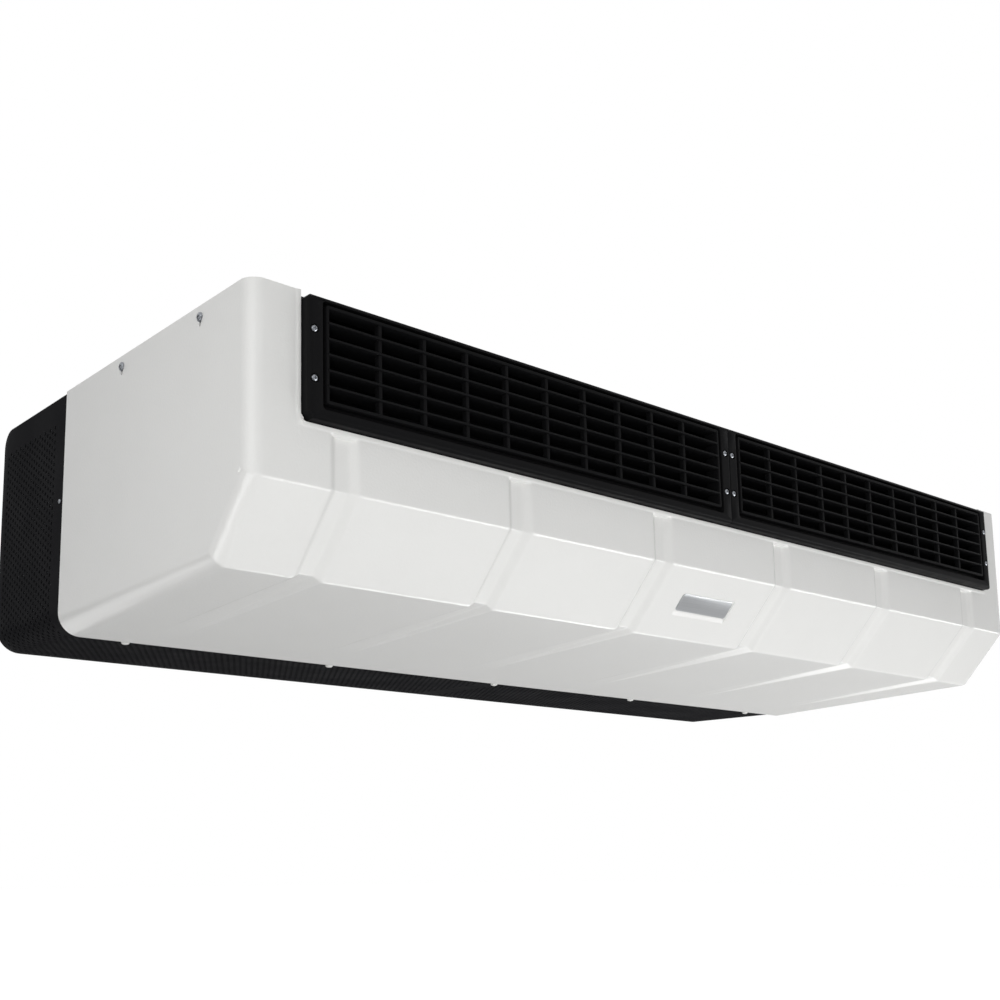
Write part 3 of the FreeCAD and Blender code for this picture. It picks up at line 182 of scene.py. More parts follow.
def galvanisedSteel():
    # hot-dip galvanised sheet: zinc spangle about 9 mm across, each grain with its own sheen
    material, tree, shader, coords = newMaterial("galvanisedSteel", "#A9ACAE", 0.42, 1.0)
    spangle = addNode(tree, "ShaderNodeTexVoronoi", {"Scale": 1000 / 9}, {"Vector": coords})
    tint(tree, shader, spangle.outputs["Distance"], "#9EA2A5", "#B6B9BB")
    grey = addNode(tree, "ShaderNodeSeparateColor", None, {"Color": spangle.outputs["Color"]})
    spreadRoughness(tree, shader, grey.outputs["Red"], 0.0, 1.0, 0.36, 0.55)
    return material


def millAluminiumFins():
    # rolled aluminium fins packed on edge: painted shade in the gaps between the fins, every 4 mm along the
    # block
    material, tree, shader, coords = newMaterial("millAluminiumFins", "#B9BCC0", 0.38, 1.0)
    pitchMm = 4.0
    values = {"bands_direction": "X", "Scale": 1000 / pitchMm / 10 * math.pi}
    wave = addNode(tree, "ShaderNodeTexWave", values, {"Vector": coords}).outputs["Fac"]
    # the dark end of this tint is painted shade between the fins
    tint(tree, shader, wave, "#4A4C50", "#C4C7CA")
    bumpFrom(tree, shader, wave, 0.4, 0.6)
    return material


def foldedAluminium():
    # mill-finish aluminium channel: faint rolling lines along its length
    material, tree, shader, coords = newMaterial("foldedAluminium", "#B4B7BA", 0.36, 1.0)
    bumpFrom(tree, shader, streaksOf(tree, coords, (12, 800, 800)), 0.05, 0.4)
    return material


def brushedAluminium():
    # nameplate blank, brushed along its length and clear anodised: fine streaks about 0.4 mm apart
    material, tree, shader, coords = newMaterial("brushedAluminium", "#C2C4C6", 0.4, 1.0)
    streaks = streaksOf(tree, coords, (20, 2600, 2600), 4.0)
    tint(tree, shader, streaks, "#B0B2B5", "#D2D4D6")
    bumpFrom(tree, shader, streaks, 0.04, 0.5)
    return material


def groundSteel():
    # ground shaft steel: fine rings round it
    material, tree, shader, coords = newMaterial("groundSteel", "#9A9CA0", 0.24, 1.0)
    bumpFrom(tree, shader, streaksOf(tree, coords, (3000, 30, 30)), 0.02, 0.5)
    return material


def drawnCopper():
    # drawn copper tube, a little tarnished: brown bloom in patches over a bright draw finish
    material, tree, shader, coords = newMaterial("drawnCopper", "#B06A48", 0.34, 1.0)
    tint(tree, shader, noiseOf(tree, coords, 18, 4.0), "#7E4730", "#C98663")
    mottle(tree, shader, coords, 25, 0.26, 0.46)
    return material


def mouldedRubber():
    # black EPDM grommet: matt with a grey bloom
    material, tree, shader, coords = newMaterial("mouldedRubber", "#1C1C1D", 0.7)
    tint(tree, shader, noiseOf(tree, coords, 6, 3.0), "#161617", "#28282A")
    grainBump(tree, shader, coords, 0.6, 0.05, 0.5)
    return material


def openCellFoam():
    # charcoal reticulated foam, cells 2.5 mm: painted shade in the open pores, darkest at the middle of each
    # cell
    material, tree, shader, coords = newMaterial("openCellFoam", "#2B2C2E", 0.9)
    cells = addNode(tree, "ShaderNodeTexVoronoi", {"Scale": 1000 / 2.5}, {"Vector": coords})
    # the dark end of this tint is painted shade inside the pores
    tint(tree, shader, cells.outputs["Distance"], "#121213", "#3A3B3E")
    bumpFrom(tree, shader, cells.outputs["Distance"], 0.8, 0.8)
    return material


def mouldedPolypropylene(name, colour):
    # glass-filled polypropylene moulding: dull, with flow marks
    return grainedMaterial(name, colour, 0.5, (40, 0.44, 0.6), (1.5, 0.08, 0.5))


shellWhite = thermoformedAbs()
zincSheet = galvanisedSteel()
finBlock = millAluminiumFins()
channelAluminium = foldedAluminium()
plateAluminium = brushedAluminium()
copperTube = drawnCopper()
grommetRubber = mouldedRubber()
shaftSteel = groundSteel()
filterFoam = openCellFoam()
wheelBlack = mouldedPolypropylene("mouldedWheelPolypropylene", "#1B1B1C")
scrollGrey = mouldedPolypropylene("mouldedScrollPolypropylene", "#222224")
panGrey = mouldedPolypropylene("mouldedPanPolypropylene", "#262628")
# black ABS, injection moulded with a spark-eroded grain: dull sheen on the faces
grilleBlack = grainedMaterial("mouldedBlackAbs", "#131314", 0.4, (30, 0.38, 0.48), (0.8, 0.05, 0.5),
                              **{"Specular IOR Level": 0.03})
# steel sheet, punched and then black powder coated: matt orange-peel skin
guardBlack = grainedMaterial("powderCoatedSteel", "#1C1C1E", 0.5, (60, 0.44, 0.54), (1.2, 0.06, 0.4),
                             **{"Specular IOR Level": 0.005})
# duct sheet behind the grilles made near black as painted shade for the dark inside of the duct, which
# swallows nearly all the light
ductShadeBlack = grainedMaterial("ductSteelPaintedShade", "#070708", 0.8, (30, 0.75, 0.9), (1.0, 0.08, 0.4),
                             **{"Specular IOR Level": 0.08})
# turned and milled valve brass: fine tool marks
valveBrass = grainedMaterial("machinedBrass", "#B89A55", 0.3, (8, 0.24, 0.38), (0.5, 0.03, 0.4), 1.0)
# motor can, drawn steel in black baked enamel: smooth satin
motorEnamel = grainedMaterial("enamelledSteel", "#1E1F21", 0.32, (35, 0.28, 0.4), (2.2, 0.05, 0.4), IOR=1.52)
# zinc plated and clear passivated screw: bright with a faint blue cast
screwZinc = grainedMaterial("zincPlatedSteel", "#8C8F94", 0.3, (2, 0.24, 0.4), (0.4, 0.02, 0.5), 1.0)
# screw with its head painted white to match the shell
screwWhite = grainedMaterial("paintedScrewHead", "#E4E4E1", 0.35, (3, 0.3, 0.42), (0.7, 0.03, 0.5), IOR=1.5)
# brown-black phenolic terminal strip: dull and slightly uneven
stripPhenolic = grainedMaterial("phenolicMoulding", "#2A2421", 0.4, (10, 0.35, 0.5), (0.8, 0.04, 0.4))
# wire-wound resistor coated in brown vitreous enamel: glassy and uneven
resistorEnamel = grainedMaterial("vitreousEnamel", "#5A4436", 0.2, (6, 0.15, 0.3), (3, 0.15, 0.6))


def setMaterial(node, material):
    node.data.materials.clear()
    node.data.materials.append(material)


# finishes of the CAD nodes, by what their names end with
finishes = (
    (zincSheet, ("rear_panel", "top_panel", "bottom_rail", "mounting_strap", "end_frame", "motor_bracket",
                 "tube_sheet")),
    # painted shade: the duct parts behind the grilles are made near black
    (ductShadeBlack, ("discharge_frame", "discharge_plenum")),
    (copperTube, ("return_bends", "suction_header", "suction_line", "liquid_line", "distributor_tubes")),
    (wheelBlack, ("inlet_rings", "blower_wheel")),
    (panGrey, ("drain_pan", "drain_spigot")),
    (screwZinc, ("grille_screws", "side_screws", "guard_screws")),
    (finBlock, ("fin_pack",)),
    (channelAluminium, ("filter_frame",)),
    (filterFoam, ("filter_pad",)),
    (plateAluminium, ("badge_plate",)),
    (valveBrass, ("expansion_valve",)),
    (stripPhenolic, ("terminal_block",)),
    (resistorEnamel, ("blower_resistor",)),
    (grommetRubber, ("grommet",)),
    (scrollGrey, ("scroll_housing",)),
    (motorEnamel, ("blower_motor",)),
    (shaftSteel, ("motor_shaft",)),
    (shellWhite, ("front_shell",)),
    (guardBlack, ("return_air_guard",)),
    (grilleBlack, ("discharge_grille",)),
    (screwWhite, ("bottom_screws",)),
)
for name, node in nodes.items():
    fitting = [finish for finish, endings in finishes if name.endswith(endings)]
    if len(fitting) != 1:
        raise SystemExit("no single finish for " + name)
    setMaterial(node, fitting[0])
print("materials made and CAD nodes finished")


def helperMesh(name, points, faces):
    # mesh from points in millimetres, as it comes
    mesh = bpy.data.meshes.new(name)
    mesh.from_pydata([tuple(c * mm for c in p) for p in points], [], faces)
    return addObject(name, mesh)


def meshPiece(name, points, faces, material, sharpAngle=32):
    # finished piece with its faces outwards, smooth apart from its sharp edges
    piece = helperMesh(name, points, faces)
    tidyMesh(piece.data, sharpAngle)
    setMaterial(piece, material)
    return piece


def tidyMesh(mesh, sharpAngle):
    work = bmesh.new()
    work.from_mesh(mesh)
    bmesh.ops.remove_doubles(work, verts=work.verts, dist=1e-6)
    bmesh.ops.recalc_face_normals(work, faces=work.faces)
    work.to_mesh(mesh)
    work.free()
    shadeMesh(mesh, sharpAngle)


def shadeMesh(mesh, sharpAngle):
    mesh.polygons.foreach_set("use_smooth", [True] * len(mesh.polygons))
    mesh.set_sharp_from_angle(angle=math.radians(sharpAngle))
    mesh.update()


def applyModifiers(piece):
    # turn the evaluated piece into a plain mesh and drop its modifiers
    graph = bpy.context.evaluated_depsgraph_get()
    graph.update()
    mesh = bpy.data.meshes.new_from_object(piece.evaluated_get(graph))
    piece.modifiers.clear()
    piece.data = mesh


def ringFaces(low, high, size):
    # faces between two rings of points, each given by its first point's number
    return [(low + k, low + (k + 1) % size, high + (k + 1) % size, high + k) for k in range(size)]


def circlePoints(radius, count, shift=0.0):
    angles = [2 * math.pi * (k + shift) / count for k in range(count)]
    return [(radius * math.cos(angle), radius * math.sin(angle)) for angle in angles]


def loftLoops(loops, closed=True):
    # skin over loops of points; it runs back to the first loop, or is capped at both ends
    points = [p for loop in loops for p in loop]
    size = len(loops[0])
    faces = []
    for i in range(len(loops) if closed else len(loops) - 1):
        faces += ringFaces(i * size, (i + 1) % len(loops) * size, size)
    if not closed:
        faces += [tuple(range(size)), tuple(range((len(loops) - 1) * size, len(loops) * size))]
    return points, faces


def dropHelpers(helpers):
    for helper in helpers:
        data = helper.data
        bpy.data.objects.remove(helper)
        (bpy.data.curves if isinstance(data, bpy.types.Curve) else bpy.data.meshes).remove(data)


def usedOnly(points, faces):
    # leave out the points that no face needs
    used = sorted({v for face in faces for v in face})
    order = {v: k for k, v in enumerate(used)}
    return [points[v] for v in used], [tuple(order[v] for v in face) for face in faces]


def cutBars(piece, bars, material):
    # take closed bars, each given by its two end loops, out of the piece
    points, faces = [], []
    for loops in bars:
        more, moreFaces = loftLoops(loops, False)
        faces += [tuple(len(points) + v for v in face) for face in moreFaces]
        points += more
    cutter = meshPiece("cutter", points, faces, material)
    cut = piece.modifiers.new("cut", "BOOLEAN")
    cut.operation = "DIFFERENCE"
    cut.solver = "EXACT"
    cut.object = cutter
    applyModifiers(piece)
    dropHelpers([cutter])


shellSizes = {
    "halfLength": 609.6,
    "frontY": -278.4,
    "rearY": 102.1,
    "bandHeight": 174.9,
    "bandLean": 6.0,
    "facetDrop": 67.9,
    "facetRun": 59.2,
    "bottomFall": 18.4,
    "wall": 3.0,
    "creaseRadius": 6.0,
    "leastCrease": 1.5,
    "pressedCrease": 2.2,
    "creaseSteps": 6,
    "endRadius": 15.0,
    "bottomRadius": 24.0,
    "endSteps": 9,
    "grooves": 6,
    "groovePitch": 205.4,
    "grooveHalf": 15.0,
    "grooveDepth": 5.5,
    "grooveRun": 8.0,
    "grooveSoft": 1.4,
    "grooveFade": 0.74,
    "notchHalf": 559.4,
    "notchDrop": 118.5,
    "notchClip": 5.5,
    "clipReach": 9.0,
    "lipHeight": 0.8,
    "lipWidth": 4.6,
    "badge": (88.0, 29.4, 1.4),
    "badgeShift": -4.3,
    "badgeSlope": 2.6,
    "badgeRim": 1.5,
    "bandRows": (0.0, 1.0, 40.0, 100.0, 112.0),
    "lipSteps": (0.0, 1.1, 2.3, 3.5, 4.6, 6.0, 9.0),
    "lowBandRows": (30.0, 52.0),
    "facetRows": (36, 40),
    "bottomShares": (0.022, 0.04, 0.12, 0.2, 0.28, 0.36, 0.44, 0.5, 0.56, 0.6, 0.64, 0.68, 0.75, 0.85, 0.95,
                     0.99, 1.0),
    "grooveColumns": (0, 2.5, 4.5, 5.8, 6.8, 7.6, 8.5, 9.6, 10.8, 12, 13.2, 14.2, 15.1, 16, 17.2, 19, 24),
    "plainColumns": (30.0, 580.0, 585.0),
}


def softMin(a, b, k):
    # the lesser of two, with the corner between them rounded over a width of k
    h = max(0.0, min(1.0, 0.5 + 0.5 * (b - a) / k))
    return b * (1 - h) + a * h - k * h * (1 - h)


def softMax(a, b, k):
    return -softMin(-a, -b, k)


def shellProfile(s, inFront, inFacet, inBottom):
    # the three slanted sides of the shell's section after each has moved inwards by its own amount
    a = (s["frontY"], 0.0)
    b = (s["frontY"] - s["bandLean"], -s["bandHeight"])
    c = (b[0] + s["facetRun"], b[1] - s["facetDrop"])
    d = (s["rearY"], c[1] - s["bottomFall"])
    sides = []
    for start, end, move in ((a, b, inFront), (b, c, inFacet), (c, d, inBottom)):
        length = math.hypot(end[0] - start[0], end[1] - start[1])
        along = ((end[0] - start[0]) / length, (end[1] - start[1]) / length)
        inward = (-along[1], along[0])
        sides.append(((start[0] + inward[0] * move, start[1] + inward[1] * move), along))

    def meet(one, two):
        (p, u), (q, v) = one, two
        cross = u[0] * v[1] - u[1] * v[0]
        t = ((q[0] - p[0]) * v[1] - (q[1] - p[1]) * v[0]) / cross
        return (p[0] + u[0] * t, p[1] + u[1] * t)

    first = (sides[0][0][0] - sides[0][1][0] / sides[0][1][1] * sides[0][0][1], 0.0)
    tailPoint, tailWay = sides[2]
    last = (s["rearY"], tailPoint[1] + tailWay[1] / tailWay[0] * (s["rearY"] - tailPoint[0]))
    return first, meet(sides[0], sides[1]), meet(sides[1], sides[2]), last, [way for _, way in sides]


def shellRows(s):
    # rows down the section: the side they lie on and where, or the step round a crease
    crease = [k / s["creaseSteps"] for k in range(s["creaseSteps"] + 1)]
    rows = [("band", -down) for down in s["bandRows"]]
    rows += [("band", -s["notchDrop"] - down) for down in s["lipSteps"] + s["lowBandRows"]]
    rows += [("upper", share) for share in crease]
    half, rim = s["badge"][1] / 2, s["badgeRim"]
    foot = half - s["badgeSlope"]
    plain = s["facetRows"]
    downs = [-plain[1], -plain[0], -half - rim, -half, -half + rim / 3, -half + rim, 0]
    downs += [foot - 1, foot, half, half + rim, plain[0], plain[1]]
    rows += [("facet", down) for down in downs]
    rows += [("lower", share) for share in crease]
    rows += [("bottom", share) for share in s["bottomShares"]]
    return rows


def rowPoint(s, row, ins, radius):
    # point of one row on the moved section, with its creases turned by the radius
    kind, value = row
    first, upper, lower, last, ways = shellProfile(s, *ins)
    if kind == "band":
        share = value / upper[1]
        return (first[0] + (upper[0] - first[0]) * share, value)
    if kind == "facet":
        length = math.hypot(lower[0] - upper[0], lower[1] - upper[1])
        middle = ((upper[0] + lower[0]) / 2, (upper[1] + lower[1]) / 2)
        room = length / 2 - radius * 0.8
        value = max(-room, min(room, value))
        return (middle[0] + ways[1][0] * value, middle[1] + ways[1][1] * value)
    if kind == "bottom":
        return (lower[0] + (last[0] - lower[0]) * value, lower[1] + (last[1] - lower[1]) * value)
    corner, before, after = (upper, *ways[:2]) if kind == "upper" else (lower, *ways[1:])
    turn = math.acos(before[0] * after[0] + before[1] * after[1])
    run = radius * math.tan(turn / 2)
    start = (corner[0] - before[0] * run, corner[1] - before[1] * run)
    inward = (-before[1], before[0])
    centre = (start[0] + inward[0] * radius, start[1] + inward[1] * radius)
    angle = turn * value
    out = (-inward[0], -inward[1])
    turned = (out[0] * math.cos(angle) - out[1] * math.sin(angle),
              out[0] * math.sin(angle) + out[1] * math.cos(angle))
    return (centre[0] + turned[0] * radius, centre[1] + turned[1] * radius)


def shellColumns(s):
    # places of the columns on the flat part, closest where the grooves, the lip and the badge are
    right = set(s["plainColumns"])
    for k in range(s["grooves"] // 2):
        middle = (k + 0.5) * s["groovePitch"]
        right |= {middle + side * offset for offset in s["grooveColumns"] for side in (-1, 1)}
    right |= {s["notchHalf"] + d for d in (-s["notchClip"], -2) + s["lipSteps"]}
    right |= {k * s["groovePitch"] / 2 + 0.01 for k in range(1, s["grooves"])}
    half, rim = s["badge"][0] / 2, s["badgeRim"]
    badge = [s["badgeShift"] + side * (half + d) for side in (-1, 1) for d in (-rim, -rim / 3, 0, rim)]
    return sorted([-x for x in right] + [0.0] + list(right) + badge)


def grooveDepthAt(s, x, row):
    # how deep the pressed groove is at this column and row
    kind, value = row
    if kind == "band" and value > -s["notchDrop"] - s["lipWidth"] - 0.1:
        return 0.0
    gap = min(abs(x - (k - (s["grooves"] - 1) / 2) * s["groovePitch"]) for k in range(s["grooves"]))
    ramp = (s["grooveHalf"] - gap) * s["grooveDepth"] / s["grooveRun"]
    floor = s["grooveDepth"]
    if kind == "bottom":
        floor = s["grooveDepth"] * max(0.0, 1 - value / s["grooveFade"])
    k = s["grooveSoft"]
    depth = softMin(softMax(ramp, 0.0, k), floor, k) if floor > 0.02 else 0.0
    return max(0.0, depth)


def inBadgeRecess(s, x, down):
    # its lower wall is a wide slope, the other three are steep
    length, height, _ = s["badge"]
    inLength = abs(x - s["badgeShift"]) < length / 2 - 0.3
    return inLength and 0.3 - height / 2 < down < height / 2 - s["badgeSlope"] + 0.1


def lipRise(s, x, z):
    # outward turn of the sheet along the edge of the grille notch
    gap = max(abs(x) - s["notchHalf"], -s["notchDrop"] - z)
    if gap < -0.01 or gap > s["lipWidth"]:
        return 0.0
    share = 1 - gap / s["lipWidth"]
    return s["lipHeight"] * math.sin(min(1.0, share * 1.5) * math.pi / 2) ** 1.4


def cornerPull(s, x, z):
    # moves the square left corner of the notch onto its clipped line, and what lies round it less and less
    a, b = abs(x) - s["notchHalf"], -s["notchDrop"] - z
    reach = s["clipReach"]
    if x > 0 or a < -0.01 or b < -0.01 or max(a, b) > reach:
        return 0.0
    return s["notchClip"] / 2 * (1 - max(a, b) / reach)


def buildShell(s):
    rows = shellRows(s)
    flats = shellColumns(s)
    steps = s["endSteps"]
    points, grid = [], []

    def endRadiusFor(row):
        share = row[1] if row[0] == "bottom" else 0.0
        return s["endRadius"] + (s["bottomRadius"] - s["endRadius"]) * share

    def addColumn(side, angle, x=None):
        column = []
        for row in rows:
            if x is None:
                radius = endRadiusFor(row)
                fall = 1 - math.cos(angle)
                ins = (s["endRadius"] * fall, s["endRadius"] * fall, radius * fall)
                crease = max(s["leastCrease"], s["creaseRadius"] - s["endRadius"] * fall * 0.4)
                y, z = rowPoint(s, row, ins, crease)
                px = side * (s["halfLength"] - radius * (1 - math.sin(angle)))
            else:
                px = x
                y, z = rowPoint(s, row, (0, 0, 0), s["creaseRadius"])
                depth = grooveDepthAt(s, x, row)
                if row[0] == "facet" and inBadgeRecess(s, x, row[1]):
                    depth = s["badge"][2]
                if depth > 0:
                    full = s["grooveDepth"]
                    dy, dz = rowPoint(s, row, (full, full, full), s["pressedCrease"])
                    y, z = y + (dy - y) * depth / full, z + (dz - z) * depth / full
                if row[0] == "band":
                    y -= lipRise(s, px, z)
                    pull = cornerPull(s, px, z)
                    px -= math.copysign(pull, px)
                    z += pull
            column.append(len(points))
            points.append((px, y, z))
        grid.append(column)

    angles = [math.pi / 2 * k / steps for k in range(steps + 1)]
    for angle in angles[::-1]:
        addColumn(-1, angle)
    for x in flats:
        addColumn(0, 0, x)
    for angle in angles:
        addColumn(1, angle)

    faces = []
    ends = [s["halfLength"]] * len(angles)
    inSpan = [abs(x) <= s["notchHalf"] + 0.01 for x in ends + flats + ends]
    for i in range(len(grid) - 1):
        for j in range(len(rows) - 1):
            inNotch = rows[j + 1][0] == "band" and rows[j + 1][1] >= -s["notchDrop"] - 0.01
            if inNotch and inSpan[i] and inSpan[i + 1]:
                continue
            faces.append((grid[i][j], grid[i + 1][j], grid[i + 1][j + 1], grid[i][j + 1]))
    for side, column in ((-1, grid[0]), (1, grid[-1])):
        points.append((side * s["halfLength"], s["rearY"], 0.0))
        corner = len(points) - 1
        faces.append(tuple(column + [corner]))
    return usedOnly(points, faces)


shellPoints, shellFaces = buildShell(shellSizes)
shell = meshPiece("frontShell", shellPoints, shellFaces, shellWhite, 50)
wall = shell.modifiers.new("wall", "SOLIDIFY")
wall.thickness = shellSizes["wall"] * mm
wall.offset = -1
wall.use_even_offset = False
applyModifiers(shell)


slotSizes = {
    "places": (-191.9, -32.2),
    "high": -11.2,
    "low": -17.6,
    "radius": 2.2,
    "points": 16,
    "ends": (603.6, 611.6),
}


def slotBars(s):
    # upright slots under the side screws, each a bar with round ends through the end wall
    ring = [(across, up + (s["high"] if up > 0 else s["low"]))
            for across, up in circlePoints(s["radius"], s["points"], 0.5)]
    return [[[(side * x, y + across, z) for across, z in ring] for x in s["ends"]]
            for side in (-1, 1) for y in s["places"]]


cutBars(shell, slotBars(slotSizes), shellWhite)
shadeMesh(shell.data, 40)
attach(shell, "housing")
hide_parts("front_shell")
print("front shell:", len(shell.data.polygons), "faces")


def spotsFor(name, places, ways=None):
    # loose points that carry the direction their copy turns its own Z to
    holder = helperMesh(name, places, [])
    way = holder.data.attributes.new("way", "FLOAT_VECTOR", "POINT")
    for k in range(len(places)):
        way.data[k].vector = ways[k] if ways else (0, 0, 1)
    return holder


def shapeOf(tree, socket):
    return addNode(tree, "GeometryNodeObjectInfo", None, {"Object": socket}).outputs["Geometry"]


def repeatOn(owner, jobs, finish, path=None, weld=0.0):
    # each job puts a piece on its spots; all of it joins the owner's own mesh, bent along the path if given
    tree = bpy.data.node_groups.new(owner.name + "Repeat", "GeometryNodeTree")
    face = tree.interface
    face.new_socket("Geometry", in_out="INPUT", socket_type="NodeSocketGeometry")
    wanted = {}

    def addInput(label, kind, value):
        wanted[face.new_socket(label, in_out="INPUT", socket_type="NodeSocket" + kind).identifier] = value

    for k, (piece, spots) in enumerate(jobs):
        addInput("Piece %d" % k, "Object", piece)
        addInput("Spots %d" % k, "Object", spots)
    if path:
        addInput("Path", "Object", path)
    addInput("Finish", "Material", finish)
    addInput("Weld", "Float", weld)
    face.new_socket("Geometry", in_out="OUTPUT", socket_type="NodeSocketGeometry")
    given = addNode(tree, "NodeGroupInput")
    joined = addNode(tree, "GeometryNodeJoinGeometry")
    tree.links.new(given.outputs["Geometry"], joined.inputs[0])
    way = addNode(tree, "GeometryNodeInputNamedAttribute", {"data_type": "FLOAT_VECTOR", "Name": "way"})
    wayOut = [socket for socket in way.outputs if socket.enabled][0]
    for k in range(len(jobs)):
        turn = addNode(tree, "FunctionNodeAlignRotationToVector", {"axis": "Z"}, {"Vector": wayOut})
        links = {"Points": shapeOf(tree, given.outputs["Spots %d" % k]),
                 "Instance": shapeOf(tree, given.outputs["Piece %d" % k]),
                 "Rotation": turn.outputs["Rotation"]}
        copies = addNode(tree, "GeometryNodeInstanceOnPoints", None, links)
        tree.links.new(copies.outputs["Instances"], joined.inputs[0])
    real = addNode(tree, "GeometryNodeRealizeInstances", None, {"Geometry": joined.outputs[0]})
    last = real.outputs[0]
    if path:
        last = bendAlong(tree, last, given.outputs["Path"])
    weldNode = addNode(tree, "GeometryNodeMergeByDistance", None,
                       {"Geometry": last, "Distance": given.outputs["Weld"]})
    painted = addNode(tree, "GeometryNodeSetMaterial", None,
                      {"Geometry": weldNode.outputs[0], "Material": given.outputs["Finish"]})
    addNode(tree, "NodeGroupOutput", None, {"Geometry": painted.outputs[0]})
    modifier = owner.modifiers.new("repeat", "NODES")
    modifier.node_group = tree
    for identifier, value in wanted.items():
        modifier[identifier] = value
    applyModifiers(owner)
    setMaterial(owner, finish)
    dropHelpers([holder for job in jobs for holder in job] + ([path] if path else []))
    return owner


def bendAlong(tree, geometry, pathSocket):
    # X becomes the way along the path, Y stays, Z becomes the height over the sheet's outer face
    place = addNode(tree, "GeometryNodeInputPosition")
    flat = addNode(tree, "ShaderNodeSeparateXYZ", None, {"Vector": place.outputs[0]})
    on = addNode(tree, "GeometryNodeSampleCurve", {"mode": "LENGTH"},
                 {"Curves": shapeOf(tree, pathSocket), "Length": flat.outputs["X"]})
    out = addNode(tree, "ShaderNodeVectorMath", {"operation": "CROSS_PRODUCT"}, {1: on.outputs["Tangent"]})
    out.inputs[0].default_value = (0, 1, 0)
    lifted = addNode(tree, "ShaderNodeVectorMath", {"operation": "SCALE"},
                     {0: out.outputs[0], "Scale": flat.outputs["Z"]})
    across = addNode(tree, "ShaderNodeCombineXYZ", None, {"Y": flat.outputs["Y"]})
    add = {"operation": "ADD"}
    above = addNode(tree, "ShaderNodeVectorMath", add, {0: on.outputs["Position"], 1: lifted.outputs[0]})
    total = addNode(tree, "ShaderNodeVectorMath", add, {0: above.outputs[0], 1: across.outputs[0]})
    links = {"Geometry": geometry, "Position": total.outputs[0]}
    return addNode(tree, "GeometryNodeSetPosition", None, links).outputs[0]


def mirroredPiece(piece, name):
    mesh = piece.data.copy()
    mesh.name = name
    work = bmesh.new()
    work.from_mesh(mesh)
    for vertex in work.verts:
        vertex.co.x = -vertex.co.x
    bmesh.ops.reverse_faces(work, faces=work.faces)
    work.to_mesh(mesh)
    work.free()
    return addObject(name, mesh)


guardSizes = {
    "half": 609.5,
    "top": 2.7,
    "bottom": 258.3,
    "bend": 27.0,
    "bendSteps": 12,
    "front": 102.5,
    "rear": 278.4,
    "sheet": 1.2,
    "flange": 14.0,
    "rearRound": 20.0,
    "edgeBreak": 0.35,
    "leastFold": 0.2,
    "topMargin": 26.0,
    "topRows": (0, 0.6, 2, 4, 7, 10, 14, 18, 22),
    "frontMargin": 23.4,
    "rows": 101,
    "rowPitch": 8.07,
    "columns": 20,
    "columnPitch": 7.0,
    "holeRadius": 2.05,
}


def guardPath(s):
    # left half of the bent sheet's outer face: down the end and along the bottom to the middle
    turn = s["bend"]
    middle = (turn - s["half"], turn - s["bottom"])
    points = [(-s["half"], -s["top"])]
    for k in range(s["bendSteps"] + 1):
        angle = math.pi / 2 * k / s["bendSteps"]
        points.append((middle[0] - turn * math.cos(angle), middle[1] - turn * math.sin(angle)))
    points.append((0.0, -s["bottom"]))
    length = sum(math.dist(a, b) for a, b in zip(points, points[1:]))
    curve = bpy.data.curves.new("guardPath", "CURVE")
    curve.dimensions = "3D"
    spline = curve.splines.new("POLY")
    spline.points.add(len(points) - 1)
    for k, (x, z) in enumerate(points):
        spline.points[k].co = (x * mm, 0, z * mm, 1)
    return addObject("guardPath", curve), length


def holeCell(s):
    # one round hole in its rectangle of sheet, both faces and the wall of the hole
    a, b, r = s["rowPitch"] / 2, s["columnPitch"] / 2, s["holeRadius"]
    edge = [(a, 0), (a, b), (0, b), (-a, b), (-a, 0), (-a, -b), (0, -b), (a, -b)]
    size = len(edge)
    hole = circlePoints(r, size)
    rings = ((edge, 0), (hole, 0), (hole, -s["sheet"]), (edge, -s["sheet"]))
    points = [(x, y, height) for ring, height in rings for x, y in ring]
    faces = [face for k in range(len(rings) - 1) for face in ringFaces(k * size, (k + 1) * size, size)]
    return helperMesh("holeCell", points, faces)


